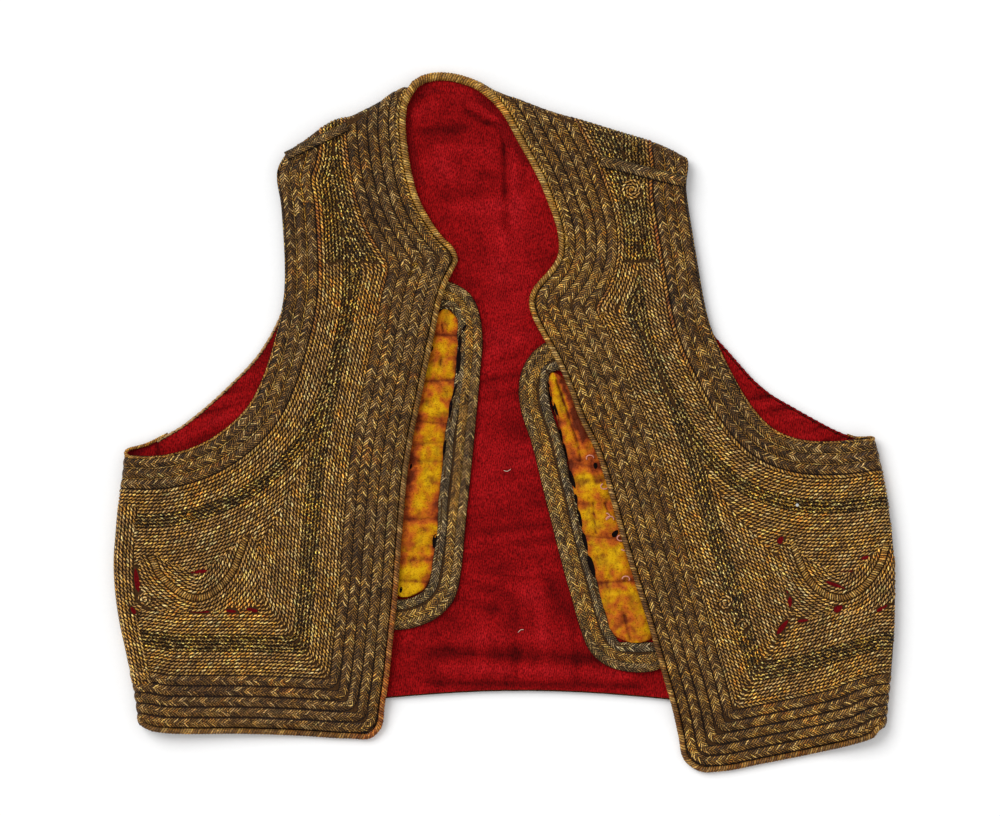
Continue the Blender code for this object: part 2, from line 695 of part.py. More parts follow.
def make_placket(name, side, material):
    """A narrow panel under a front edge, with rows of braid round a long opening."""
    ring = side.placket
    window = window_of(side)
    rows = []
    for k in range(1, 6):
        line = row_line(ring, k * PLACKET_BRAID / 2, closed=True)
        rows.append(np.vstack([line, line[:1]]))

    def place(points, outer):
        lift = 0.0
        if outer:
            lift = PLACKET_WALL + crest(distance(points, ring, True), PLACKET_BRAID, PLACKET_RISE)
        return side.world(points, LAYER_BASE + np.broadcast_to(lift, len(points)))

    return cloth(name, [ring, window], rows, [], place, material, spacing=(20.0, 40.0), clear=1.2)


def make_silk(name, side, material):
    """A strip of silk gathered into puffs, lying in the placket's opening."""
    table = np.array(side.silk, float)[::-1]
    ends = table[0, 0], table[-1, 0]
    stations = np.linspace(*ends, 2 * SILK_PUFFS + 1)
    columns = np.linspace(-1.0, 1.0, 6)
    points = []
    for i, up in enumerate(stations):
        near = np.interp(up, table[:, 0], table[:, 1])
        far = np.interp(up, table[:, 0], table[:, 2])
        full = 1.0 if i % 2 else 0.35
        middle, half = (near + far) / 2, (far - near) / 2
        for across in columns:
            crown = SILK_RIM + SILK_PUFF * full * math.sqrt(1 - across * across)
            points.append((side.sign * (middle + half * across), up, LAYER_BASE + crown))
        for across in columns:
            points.append((side.sign * (middle + half * across), up, LAYER_BASE))
    wide = len(columns)
    ring = list(range(wide)) + list(range(2 * wide - 1, wide - 1, -1))
    faces = []
    for i in range(len(stations) - 1):
        here, there = 2 * wide * i, 2 * wide * (i + 1)
        for a, b in zip(ring, ring[1:] + ring[:1]):
            faces.append((here + a, here + b, there + b, there + a))
    last = 2 * wide * (len(stations) - 1)
    faces += [tuple(reversed(ring)), tuple(last + i for i in ring)]
    return solid(name, points, faces, material)


# Cords and shoulder strips

def neck_heights(side):
    """The neck cord's line beside one front, from the shoulder fold to the front's corner."""
    line = side.edge[:side.corner + 1].copy()
    line[-1] += (line[-2] - line[-1]) * (CORD_TRIM / np.linalg.norm(line[-2] - line[-1]))
    height = front_height(side, line)
    height[:side.seam + 1] = SHOULDER_HEIGHT - WALL
    return side.world(line, height + CORD_RADIUS + SEAM_GAP)


def make_neck_cord(left, right, material):
    line = np.vstack([neck_heights(right)[::-1], np.array(NECK_ARC), neck_heights(left)])
    return cord("neck_cord", line, material)


def make_edge_cord(name, side, material):
    """The cord down a front edge, round its corner and along the hem to the side fold."""
    line = side.edge[side.corner:].copy()
    line[0] += (line[1] - line[0]) * (CORD_TRIM / np.linalg.norm(line[1] - line[0]))
    line = line[line[:, 0] < level(side.fold, line[:, 1])]
    return cord(name, place_front(side, line, CORD_RADIUS + SEAM_GAP), material)


def make_strip(name, ends, material):
    """A flat braid strip over a shoulder seam."""
    start, end = np.array(ends[0]), np.array(ends[1])
    along = (end - start) / np.linalg.norm(end - start)
    normal = np.array([-along[1], along[0]])
    base = SHOULDER_HEIGHT + SEAM_GAP + BRAID_RISE * 0.7
    section = ((-0.5, 0.0), (-0.46, 0.6), (-0.25, 1.0), (0.25, 1.0), (0.46, 0.6), (0.5, 0.0))
    stations = np.linspace(start, end, 6)
    points = []
    for station in stations:
        for across, up in section:
            x, y = station + normal * across * STRIP_WIDTH
            points.append((x, y, base + up * STRIP_HEIGHT))
    count = len(section)
    faces = [tuple(range(count)), tuple(reversed(range(count * 5, count * 6)))]
    for i in range(len(stations) - 1):
        for j in range(count):
            k = (j + 1) % count
            faces.append((i * count + j, i * count + k, (i + 1) * count + k, (i + 1) * count + j))
    return solid(name, points, faces, material)


def main():
    clear_scene()
    gold = finish_of("gold_braid_cloth", (0.19, 0.13, 0.055), 0.55, 0.2)
    cord_gold = finish_of("gold_cord", (0.42, 0.25, 0.07), 0.45, 0.3)
    red = finish_of("red_lining", (0.26, 0.006, 0.014), 0.85)
    silk = finish_of("yellow_silk", (0.62, 0.30, 0.02), 0.4)
    left = Side(1, LEFT_EDGE, LEFT_SEAM_ROW, LEFT_CORNER_ROW, LEFT_ARMHOLE, LEFT_BACK_ARMHOLE,
                LEFT_SIDE, LEFT_SHOULDER, LEFT_FOLD_ENDS, LEFT_PLACKET, LEFT_SILK)
    right = Side(-1, RIGHT_EDGE, RIGHT_SEAM_ROW, RIGHT_CORNER_ROW, RIGHT_ARMHOLE,
                 RIGHT_BACK_ARMHOLE, RIGHT_SIDE, RIGHT_SHOULDER, RIGHT_FOLD_ENDS,
                 RIGHT_PLACKET, RIGHT_SILK)
    make_back(left, right, gold)
    make_lining(left, right, red)
    for word, side, strip in (("left", left, LEFT_STRIP), ("right", right, RIGHT_STRIP)):
        make_front(f"front_{word}", side, gold)
        make_placket(f"placket_{word}", side, gold)
        make_silk(f"silk_{word}", side, silk)
        make_edge_cord(f"edge_cord_{word}", side, cord_gold)
        make_strip(f"shoulder_braid_{word}", strip, gold)
    make_neck_cord(left, right, cord_gold)


main()
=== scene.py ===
# %% [markdown]
# # An embroidered waistcoat, laid flat and open
# A waistcoat like this is cut from red wool, and its maker then covers the whole outside with
# thread: rows of flat braid along every edge, and twisted cords couched side by side over the rest.
# It lies here on its back, with the two fronts folded over at the sides and open in the middle.
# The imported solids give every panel's true shape, so the lesson starts from them: each panel is
# dressed where it lies, and nothing is moved.

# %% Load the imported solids
import math

import bmesh
import bpy
import numpy as np
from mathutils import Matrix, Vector, noise
from mathutils.bvhtree import BVHTree


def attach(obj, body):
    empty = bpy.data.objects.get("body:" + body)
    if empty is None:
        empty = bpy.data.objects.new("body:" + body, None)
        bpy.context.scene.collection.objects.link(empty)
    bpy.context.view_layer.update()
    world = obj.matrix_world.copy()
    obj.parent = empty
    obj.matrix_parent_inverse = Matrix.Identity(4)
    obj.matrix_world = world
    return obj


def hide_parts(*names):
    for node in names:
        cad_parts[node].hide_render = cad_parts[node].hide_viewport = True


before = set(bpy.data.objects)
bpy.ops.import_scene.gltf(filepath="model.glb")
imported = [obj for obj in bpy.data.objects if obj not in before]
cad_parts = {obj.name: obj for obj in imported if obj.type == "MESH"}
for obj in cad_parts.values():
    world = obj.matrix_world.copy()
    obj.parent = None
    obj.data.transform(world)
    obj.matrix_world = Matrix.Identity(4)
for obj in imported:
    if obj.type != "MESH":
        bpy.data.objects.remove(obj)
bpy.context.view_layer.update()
MM = 0.001
MIDDLE = np.array([0.25, -0.74, 0.0])   # the middle of the garment, in the cutting tables' frame
print("panels and trims:", sorted(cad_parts))

# %% [markdown]
# ## The lines of the cut
# A tailor works from lines chalked on flat cloth: the front edge, the armhole, the side.
# The braid and the cords all follow those lines, so they come first. Each table gives a few points
# in millimetres, as the distance out from the middle and the distance up, and a smooth curve goes
# through them. Both halves share one set of functions, because `out` always runs away from the
# middle of the garment.

# %% Curves in flat cloth
def smooth(rows, step=4.0, closed=False):
    """Points about `step` apart on a smooth curve through the rows, and the place of each row."""
    knots = np.array(rows, float)
    if closed:
        ring = np.vstack([knots[-1:], knots, knots[:2]])
    else:
        ring = np.vstack([2 * knots[0] - knots[1], knots, 2 * knots[-1] - knots[-2]])
    chords = np.linalg.norm(np.diff(ring, axis=0), axis=1)
    slopes = np.diff(ring, axis=0) / chords[:, None]
    before, after = chords[:-1, None], chords[1:, None]
    tangents = (slopes[:-1] * after + slopes[1:] * before) / (before + after)
    points, places = [], []
    for i in range(len(ring) - 3):
        places.append(len(points))
        start, end = ring[i + 1], ring[i + 2]
        pull, push = tangents[i] * chords[i + 1], tangents[i + 1] * chords[i + 1]
        for t in np.arange(0, 1, 1 / max(1, round(chords[i + 1] / step))):
            points.append((2 * t**3 - 3 * t**2 + 1) * start + (t**3 - 2 * t**2 + t) * pull
                          + (3 * t**2 - 2 * t**3) * end + (t**3 - t**2) * push)
    if not closed:
        places.append(len(points))
        points.append(knots[-1])
    return np.array(points), places


def level(rows, value):
    """Second column of a smooth curve through the rows, at a value of the first."""
    line = smooth(rows)[0]
    line = line[np.argsort(line[:, 0])]
    return np.interp(value, line[:, 0], line[:, 1])


def distance(points, line, closed=False):
    """Distance of each point to a line of points."""
    points = np.atleast_2d(points)
    starts = line if closed else line[:-1]
    runs = (np.roll(line, -1, axis=0) if closed else line[1:]) - starts
    nearest = np.full(len(points), 1e9)
    for start, run in zip(starts, runs):
        offset = points - start
        along = np.clip(offset @ run / (run @ run), 0, 1)
        nearest = np.minimum(nearest, np.linalg.norm(offset - along[:, None] * run, axis=1))
    return nearest


def inside(points, ring):
    """Whether each point lies inside a closed ring."""
    x, y = np.atleast_2d(points).T
    result = np.zeros(len(x), bool)
    for (x0, y0), (x1, y1) in zip(ring, np.roll(ring, -1, axis=0)):
        if y0 != y1:
            result ^= ((y0 > y) != (y1 > y)) & (x < (x1 - x0) * (y - y0) / (y1 - y0) + x0)
    return result


def normals_of(line, closed=False):
    """Unit vectors to the left of a line, one at each point."""
    if closed:
        along = np.roll(line, -1, axis=0) - np.roll(line, 1, axis=0)
    else:
        along = np.gradient(line, axis=0)
    along = along / np.linalg.norm(along, axis=1)[:, None]
    return np.stack([-along[:, 1], along[:, 0]], axis=1)


def spaced(line, step, closed=False):
    """The same line with its points evenly spaced, about `step` apart."""
    if closed:
        line = np.vstack([line, line[:1]])
    along = np.concatenate([[0], np.cumsum(np.linalg.norm(np.diff(line, axis=0), axis=1))])
    stations = np.linspace(0, along[-1], max(2, round(along[-1] / step) + 1))
    line = np.column_stack([np.interp(stations, along, column) for column in line.T])
    return line[:-1] if closed else line


def softened(line, passes, closed=False):
    """The line with its corners rounded a little, ends kept."""
    line = line.copy()
    for _ in range(passes):
        if closed:
            line = (np.roll(line, 1, axis=0) + 2 * line + np.roll(line, -1, axis=0)) / 4
        else:
            line[1:-1] = (line[:-2] + 2 * line[1:-1] + line[2:]) / 4
    return line


def parallel(line, depth, closed=False, step=3.0, rounding=2):
    """A line at one distance to the left of another, mitred where it meets itself."""
    points = line + depth * normals_of(line, closed)
    points = points[distance(points, line, closed) > abs(depth) - 0.15]
    return softened(spaced(points, step, closed), rounding, closed)


SHORTEST = 3        # points in the shortest stretch of a line that is worth laying


def runs(line, kept):
    """The unbroken stretches of a line whose points are kept."""
    found, start = [], None
    for i, keep in enumerate(list(kept) + [False]):
        if keep and start is None:
            start = i
        elif not keep and start is not None:
            if i - start >= SHORTEST:
                found.append(line[start:i])
            start = None
    return found


def ease(value):
    value = np.clip(value, 0.0, 1.0)
    return value * value * (3 - 2 * value)


# %% [markdown]
# The tables themselves repeat the cutting lines of the solids. The halves are named for the wearer,
# so the right one lies on the left when the waistcoat is seen from above. The row where the neck
# turns into the front edge matters most: the maker mitres the braid there.

# %% Cutting tables, in millimetres
RIGHT_EDGE = (
    (66, 231.5), (69.5, 225), (71.5, 213), (70.5, 194), (67.5, 175),
    (62, 155.5), (53.5, 140), (44.5, 128), (37, 120.5), (34.5, 114),
    (37.5, 107), (42.5, 96.5), (46.5, 83.5), (50, 66), (55, 42),
    (60.5, 15.5), (65.5, -9), (69.5, -33.5), (72.5, -65), (74.5, -91),
    (76.5, -119), (80, -152.5), (83, -180.5), (86, -200), (88, -213.5),
    (93.5, -219.5), (108, -220), (143, -218), (185, -216.5), (223.5, -216.5),
    (246.5, -215.5), (257, -213.5),
)
LEFT_EDGE = (
    (-16.5, 234), (-9, 228), (-2, 220.5), (4.5, 210.5), (11, 198),
    (19, 184), (27, 168.5), (32.5, 154.5), (37.5, 140.5), (40, 127.5),
    (39, 115.5), (32.5, 105), (25.5, 97.5), (20.5, 90.5), (19, 83.5),
    (21.5, 74), (27, 63), (34, 50.5), (41, 37), (46.5, 24),
    (54, 3.5), (65, -19), (73, -42.5), (82, -75.5), (92, -108.5),
    (102, -140), (111, -171.5), (120, -203), (124, -221), (127.5, -236),
    (137, -243), (152, -243), (179, -238), (214, -231), (242, -224.5),
    (258, -220), (266.5, -215),
)
RIGHT_ARMHOLE = (
    (265.5, -24.5), (242.5, -25), (223.5, -21), (208, -14.5), (192, -3.5),
    (178, 11), (168.5, 29.5), (161.5, 50.5), (156.5, 70), (153, 89),
    (152.5, 110), (153.5, 131), (155, 152), (156, 176),
)
LEFT_ARMHOLE = (
    (258.5, -11.5), (242, -14), (225, -15), (209, -14), (196.5, -10.5),
    (186, -5), (177, 4), (168.5, 15.5), (160, 30), (152, 46),
    (145, 61), (140.5, 75), (137, 92.5), (133.5, 113.5), (130, 134.5),
    (127, 153.5), (125.5, 167),
)
# Outermost line of each side fold: up, out
RIGHT_SIDE = (
    (-213.5, 256), (-199, 257.5), (-182, 260), (-161, 264), (-140, 268.5),
    (-119, 271.5), (-96.5, 272.5), (-75.5, 271), (-58, 269.5), (-40.5, 267.5), (-23, 265.5),
)
LEFT_SIDE = (
    (-217, 266.5), (-189, 269), (-168, 271), (-145.5, 272.5), (-117.5, 273),
    (-91, 272), (-69.5, 270), (-51, 267), (-35, 264), (-21, 261), (-10.5, 258),
)
# Top line of each shoulder fold, where the back turns over: out, up
RIGHT_SHOULDER = (
    (70.5, 234.5), (79, 230.5), (87, 224.5), (97.5, 219), (108, 214),
    (118.5, 211.5), (129, 205.5), (139.5, 197.5), (150, 190.5), (156.5, 183),
)
LEFT_SHOULDER = (
    (-18, 238), (-3, 230.5), (7.5, 227), (28.5, 219), (53, 211.5),
    (81, 203), (105.5, 195.5), (117, 190.5), (127, 185),
)
RIGHT_BACK_ARMHOLE = (
    (261.5, -24), (251.5, -17.5), (239.5, -10.5), (226.5, -3), (213, 7.5),
    (192, 26.5), (172.5, 47.5), (158, 73), (151.5, 91), (149.5, 112),
    (149.5, 133), (150.5, 154), (152, 178),
)
LEFT_BACK_ARMHOLE = (
    (251, -12.5), (240.5, -9.5), (230, -5), (215, 3), (200, 11.5),
    (187, 19), (175.5, 28.5), (165, 40), (154.5, 52), (146, 61.5),
    (138, 75.5), (133, 92.5), (129, 113.5), (126, 134.5), (123, 153.5),
    (121.5, 166.5), (121.5, 182),
)
RIGHT_PLACKET = (
    (52, 98.5), (40, 98.5), (31, 95), (23.5, 89), (18, 77),
    (15.5, 59), (17, 36.5), (19.5, 8.5), (23.5, -33.5), (27.5, -72),
    (31, -107), (34.5, -122.5), (44.5, -135), (59, -142.5), (76.5, -145.5),
    (90.5, -141.5), (99, -127.5), (98.5, -103.5), (91.5, -54.5), (83, 1.5),
    (76, 50.5), (70.5, 80), (62.5, 94),
)
LEFT_PLACKET = (
    (30.5, 56.5), (20.5, 49.5), (13, 38), (10, 24), (12, 6.5),
    (18.5, -12.5), (25.5, -40.5), (32.5, -68.5), (40, -98), (48, -126.5),
    (54, -147), (60.5, -161.5), (70.5, -170), (88, -175), (107.5, -173.5),
    (122, -164.5), (125.5, -150), (117, -117.5), (102, -65), (88, -19.5),
    (72.5, 26), (60, 48.5), (45, 58),
)
# Silk strip in each placket's opening: up, near edge, far edge
RIGHT_SILK = (
    (79, 37.5, 46.5), (71.5, 33, 53.5), (54, 32.5, 60), (33, 34, 65), (12, 37.5, 69),
    (-9, 41.5, 73), (-30, 43, 76), (-51, 46, 78), (-72, 46.5, 79.5), (-89.5, 48.5, 80.5),
    (-107, 51.5, 81.5), (-117.5, 56.5, 81.5), (-122.5, 62.5, 79),
)
LEFT_SILK = (
    (34.5, 31, 39), (26, 31.5, 47), (12, 34.5, 54), (-5.5, 39.5, 61), (-26.5, 45, 71),
    (-47.5, 48.5, 79), (-68.5, 52.5, 88), (-89.5, 57.5, 95.5), (-110.5, 64, 103),
    (-131.5, 69.5, 109.5), (-145.5, 74, 111.5), (-154.5, 80, 105.5),
)
# The neck cord over the back of the neck: x, y, z
NECK_ARC = (
    (-62.5, 236.5, 7.2), (-57, 240, 4.8), (-51, 241.8, 3.0), (-45, 242.3, 2.5),
    (-38, 241.8, 2.5), (-31, 240.4, 2.7), (-24, 238, 4.8), (-19, 235.8, 7.2),
)
# The armhole's end at each shoulder, where the corner of the cloth is rounded: out, up
RIGHT_CORNER = ((157, 162.3), (158.3, 171), (157.7, 177.2), (156, 181), (153.4, 185.5))
LEFT_CORNER = ((125.6, 163), (126.1, 171), (127.7, 181.8), (126.5, 186))

# %% [markdown]
# ## Laying thread on a panel
# The fronts turn under at the sides, as any garment does when it is laid flat: the cloth rolls
# round a soft fold. A thread that is planned on flat cloth has to take that turn too. On top of a
# panel a ray dropped on the solid finds the height, and past the fold the same half turn as the
# solid's carries the thread round. So the embroidery can be planned in the flat and laid in place
# by one call.

# %% Heights and folds
WALL = 3.0              # embroidered cloth with its backing
SEAM_GAP = 0.3          # air between two layers
LINING = 1.0
LINING_TOP = WALL + SEAM_GAP + LINING
CORD_RADIUS = 2.0
BRAID = 7.4             # width of one row of flat braid
EDGE_ROWS = 5           # rows along the neck, the front edge and the hem
ARMHOLE_ROWS = 3
FOLD_REACH = 5.0        # the cloth begins to turn this far before a fold's outermost line
SIDE_HEIGHT = 11.0      # top of the cloth where it begins to turn, at the side and the shoulder
SHOULDER_HEIGHT = 9.5
UNDER_LIP = 6.0         # how far a front goes on under itself
BEFORE_FOLD = 1.5       # a line on top of a panel stops this far before the turn
OVER_SHOULDER = 45.0    # how far the armhole's line is carried on past the shoulder seam
RAY_START = 0.1         # rays start this high over the table, in metres


def ray_tree(mesh):
    corners = [tuple(v.co) for v in mesh.vertices]
    return BVHTree.FromPolygons(corners, [tuple(p.vertices) for p in mesh.polygons])


trees = {node: ray_tree(item.data) for node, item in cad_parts.items()}


def height_on(node, x, y, miss=None):
    """Height of a solid's top under each point, in millimetres."""
    tree, heights = trees[node], np.empty(len(x))
    down = Vector((0, 0, -1))
    for i, (px, py) in enumerate(zip((x - MIDDLE[0]) * MM, (y - MIDDLE[1]) * MM)):
        hit = tree.ray_cast(Vector((px, py, RAY_START)), down)[0]
        if hit is None and miss is None:
            hit = tree.find_nearest(Vector((px, py, WALL * MM * 2)))[0]
        heights[i] = miss if hit is None else hit.z / MM
    return heights


def turn_length(height):
    """Length of the cloth that goes round a fold of one height."""
    return math.pi * (FOLD_REACH + height / 2) / 2


def rolled(past, height, lift):
    """Cloth round a fold: its place across the fold, and its height over the fold's middle."""
    turn = turn_length(height)
    angle = np.clip((past + FOLD_REACH) / turn, 0.0, 1.0) * math.pi
    beyond = np.maximum(past + FOLD_REACH - turn, 0.0)
    before = np.minimum(past + FOLD_REACH, 0.0)
    across = FOLD_REACH - WALL + lift
    upright = height / 2 - WALL + lift
    return before - beyond - FOLD_REACH + across * np.sin(angle), upright * np.cos(angle)


class Half:
    """One half of the waistcoat: its lines in the flat, and how a point in the flat is laid."""

    def __init__(self, word, sign, edge, seam_row, corner_row, armhole, shoulder_corner, back_armhole,
                 side, shoulder, placket, silk):
        self.word = word
        self.sign = sign
        self.side = side
        self.shoulder = shoulder
        self.silk = np.array(silk, float)
        line, places = smooth(edge)
        self.corner = places[corner_row]
        self.seam = places[seam_row]
        self.cord_line = np.vstack([self.on_top(line), self.round_fold(edge[-1][1])])
        self.edge = self.cord_line + (CORD_RADIUS + SEAM_GAP) * normals_of(self.cord_line)
        self.armhole = np.vstack([self.round_fold(armhole[0][1])[::-1],
                                  self.on_top(smooth(armhole)[0])])
        self.back_armhole = smooth(back_armhole)[0]
        self.placket = smooth(placket, closed=True)[0]
        self.seam_line = np.array([self.edge[self.seam], self.armhole[-1]])
        # The edge is carried straight on past the shoulder's fold, and so is the armhole
        start = self.edge[0] + (self.edge[0] - self.edge[2]) * np.linspace(8, 0.3, 20)[:, None]
        self.neck_line = np.vstack([start, self.edge])
        rounded = smooth(shoulder_corner, 2.0)[0]
        below = self.armhole[self.armhole[:, 1] < rounded[0][1] - 5]
        ups = np.linspace(rounded[-1][1] + 3, self.armhole[-1][1] + OVER_SHOULDER, 14)
        above = np.column_stack([np.full(14, rounded[-1][0] - 1), ups])
        self.arm_line = softened(np.vstack([below, rounded, above]), 2)

    def fold_at(self, up):
        return level(self.side, up)

    def on_top(self, line):
        return line[line[:, 0] < self.fold_at(line[:, 1]) - FOLD_REACH - BEFORE_FOLD]

    def round_fold(self, up):
        """Flat points across the side fold and its under lip, at one height up the garment."""
        outs = self.fold_at(up) - FOLD_REACH + np.linspace(0.0, turn_length(SIDE_HEIGHT) + UNDER_LIP, 8)
        return np.column_stack([outs, np.full(len(outs), up)])

    def seam_up(self, out):
        (x0, y0), (x1, y1) = self.seam_line
        return y0 + (out - x0) * (y1 - y0) / (x1 - x0)

    def lay(self, flat, lift):
        """Where flat points lie in the garment, `lift` over its cloth."""
        flat = np.atleast_2d(flat)
        on_back = flat[:, 1] > self.seam_up(flat[:, 0])
        placed = np.empty((len(flat), 3))
        placed[~on_back] = self.lay_on_front(flat[~on_back], lift)
        placed[on_back] = self.lay_on_back(flat[on_back], lift)
        return placed

    def lay_on_back(self, flat, lift):
        """Points above the shoulder seam lie on the turned-over back, and go round its fold."""
        out, up = flat.T
        top = level(self.shoulder, out) - FOLD_REACH
        # Past the start of the turn the height is the one just before it
        z = height_on("back", self.sign * out, np.minimum(up, top - 0.8))
        z = np.maximum(z, SHOULDER_HEIGHT - 0.4)
        past = up - top - FOLD_REACH
        across, upright = rolled(past, SHOULDER_HEIGHT, WALL + lift)
        turned = up > top
        up = np.where(turned, top + FOLD_REACH + across, up)
        z = np.where(turned, SHOULDER_HEIGHT / 2 + upright, z + lift)
        return np.column_stack([self.sign * out, up, z])

    def lay_on_front(self, flat, lift):
        """Points below the seam lie on the front, and go round the side fold and under it."""
        out, up = flat.T
        past = out - self.fold_at(up)
        turned = past > -FOLD_REACH
        start = np.where(turned, self.fold_at(up) - FOLD_REACH - 0.5, out)
        node = "front_" + self.word
        z = height_on(node, self.sign * start, up)
        cloth = np.clip(z - (SIDE_HEIGHT - WALL), WALL, WALL + 1.0)
        fade = 1 - ease((past + FOLD_REACH) / turn_length(SIDE_HEIGHT) * 2.0 - 0.9)
        across, upright = rolled(past, SIDE_HEIGHT, WALL + (cloth - WALL) * fade + lift)
        out = np.where(turned, out - past + across, out)
        z = np.where(turned, SIDE_HEIGHT / 2 + upright, z + lift)
        return np.column_stack([self.sign * out, up, z])


right = Half("right", -1, RIGHT_EDGE, 1, 9, RIGHT_ARMHOLE, RIGHT_CORNER, RIGHT_BACK_ARMHOLE,
             RIGHT_SIDE, RIGHT_SHOULDER, RIGHT_PLACKET, RIGHT_SILK)
left = Half("left", 1, LEFT_EDGE, 4, 14, LEFT_ARMHOLE, LEFT_CORNER, LEFT_BACK_ARMHOLE,
            LEFT_SIDE, LEFT_SHOULDER, LEFT_PLACKET, LEFT_SILK)
halves = (right, left)
print("edge of each front, in points:", [len(half.edge) for half in halves])

# %% [markdown]
# ## Table, light and camera
# A catalogue shows a garment from straight above, on a white table. A long lens far away keeps the
# edges from leaning. One broad soft light from the upper left gives the threads their small
# shadows, and an even white surround fills them.

# %% Table, light and camera
LENS = 200.0
SENSOR = 36.0
FRAME_WIDTH = 0.700     # what the camera takes in from side to side, at the garment
GARMENT_HEIGHT = 0.008
CAMERA_AT = (-0.00340, 0.01054)

camera_data = bpy.data.cameras.new("camera")
camera_data.lens = LENS
camera_data.sensor_width = SENSOR
camera = bpy.data.objects.new("camera", camera_data)
camera.location = (*CAMERA_AT, FRAME_WIDTH * LENS / SENSOR + GARMENT_HEIGHT)
bpy.context.scene.collection.objects.link(camera)
bpy.context.scene.camera = camera

scene = bpy.context.scene
scene.view_settings.view_transform = "Standard"
scene.view_settings.look = "None"
world = bpy.data.worlds.new("studio")
scene.world = world
world.use_nodes = True
world.node_tree.nodes["Background"].inputs["Color"].default_value = (1.0, 1.0, 1.0, 1.0)
world.node_tree.nodes["Background"].inputs["Strength"].default_value = 0.69

sun_data = bpy.data.lights.new("soft_window", "SUN")
sun_data.energy = 1.8
sun_data.angle = math.radians(40)
sun = bpy.data.objects.new("soft_window", sun_data)
sun.rotation_euler = Vector((0.62, -0.60, -0.85)).to_track_quat("-Z", "Y").to_euler()
scene.collection.objects.link(sun)


def add_object(name, mesh, material=None):
    if material is not None:
        mesh.materials.append(material)
    item = bpy.data.objects.new(name, mesh)
    scene.collection.objects.link(item)
    return item


FLOOR_HALF = 3.0
floor_mesh = bpy.data.meshes.new("table_top")
floor_mesh.from_pydata([(-FLOOR_HALF, -FLOOR_HALF, 0), (FLOOR_HALF, -FLOOR_HALF, 0),
                        (FLOOR_HALF, FLOOR_HALF, 0), (-FLOOR_HALF, FLOOR_HALF, 0)],
                       [], [(0, 1, 2, 3)])
floor = add_object("table_top", floor_mesh)
floor.location.z = -0.0004

# %% [markdown]
# ## Finishes from small groups
# Gold thread, flat braid and edge cord all look the way they do because strands are twisted or
# plaited at a slant. So one node group draws slanted strands, with painted shade in the hollows
# between them, and every threaded material uses it with its own slant, width and colours. A second
# group gives the slow change of colour that handling and age leave, and a third draws a twill weave
# for the woollen cloth.

# %% A short way to add nodes
class Value:
    """An output of a node, which adds, subtracts, multiplies and divides as a plain number does."""

    def __init__(self, net, socket):
        self.net, self.socket = net, socket

    def __add__(self, other):
        return self.net.math("ADD", self, other)

    def __sub__(self, other):
        return self.net.math("SUBTRACT", self, other)

    def __rsub__(self, other):
        return self.net.math("SUBTRACT", other, self)

    def __mul__(self, other):
        return self.net.math("MULTIPLY", self, other)

    def __truediv__(self, other):
        return self.net.math("DIVIDE", self, other)


class Net:
    """Adds nodes to a tree; an input is a number, a colour or another node's output."""

    def __init__(self, tree):
        self.tree = tree

    def set(self, socket, value):
        if isinstance(value, Value):
            self.tree.links.new(value.socket, socket)
        else:
            socket.default_value = value

    def node(self, kind, inputs=None, **settings):
        """The outputs of a new node, by name."""
        made = self.tree.nodes.new("ShaderNode" + kind)
        for name, value in settings.items():
            setattr(made, name, value)
        for name, value in (inputs or {}).items():
            self.set(made.inputs[name], value)
        return {socket.name: Value(self, socket) for socket in made.outputs}

    def math(self, operation, *values, clamp=False):
        return self.node("Math", dict(enumerate(values)), operation=operation, use_clamp=clamp)["Value"]

    def mix(self, share, low, high, blend_type="MIX"):
        made = self.tree.nodes.new("ShaderNodeMix")
        made.data_type, made.blend_type = "RGBA", blend_type
        for place, value in ((0, share), (6, low), (7, high)):
            self.set(made.inputs[place], value)
        return Value(self, made.outputs[2])

    def ramp(self, value, *stops):
        """Colours at places from 0 to 1, each stop a place and a colour."""
        made = self.tree.nodes.new("ShaderNodeValToRGB")
        self.set(made.inputs["Fac"], value)
        points = made.color_ramp.elements
        while len(points) < len(stops):
            points.new(1.0)
        for point, (place, colour) in zip(points, stops):
            point.position = place
            point.color = (*colour, 1.0)
        return Value(self, made.outputs["Color"])

    def noise(self, place, scale, detail=2.0):
        return self.node("TexNoise", {"Vector": place, "Scale": scale, "Detail": detail})["Fac"]

    def here(self):
        return self.node("TexCoord")["Object"]

    def painted(self):
        """The numbers painted on the mesh: Red, Green, Blue and Alpha."""
        paint = self.node("Attribute", attribute_name="finish_and_shade", attribute_type="GEOMETRY")
        return {**self.node("SeparateColor", {"Color": paint["Color"]}), "Alpha": paint["Alpha"]}


def new_group(name, inputs, outputs):
    """The net of an empty node group, its given values and its result sockets."""
    tree = bpy.data.node_groups.new(name, "ShaderNodeTree")
    for in_out, titles in (("INPUT", inputs), ("OUTPUT", outputs)):
        for title in titles:
            kind = "NodeSocketColor" if title == "Color" else "NodeSocketFloat"
            tree.interface.new_socket(title, in_out=in_out, socket_type=kind)
    net = Net(tree)
    given = {socket.name: Value(net, socket) for socket in tree.nodes.new("NodeGroupInput").outputs}
    return net, given, tree.nodes.new("NodeGroupOutput").inputs


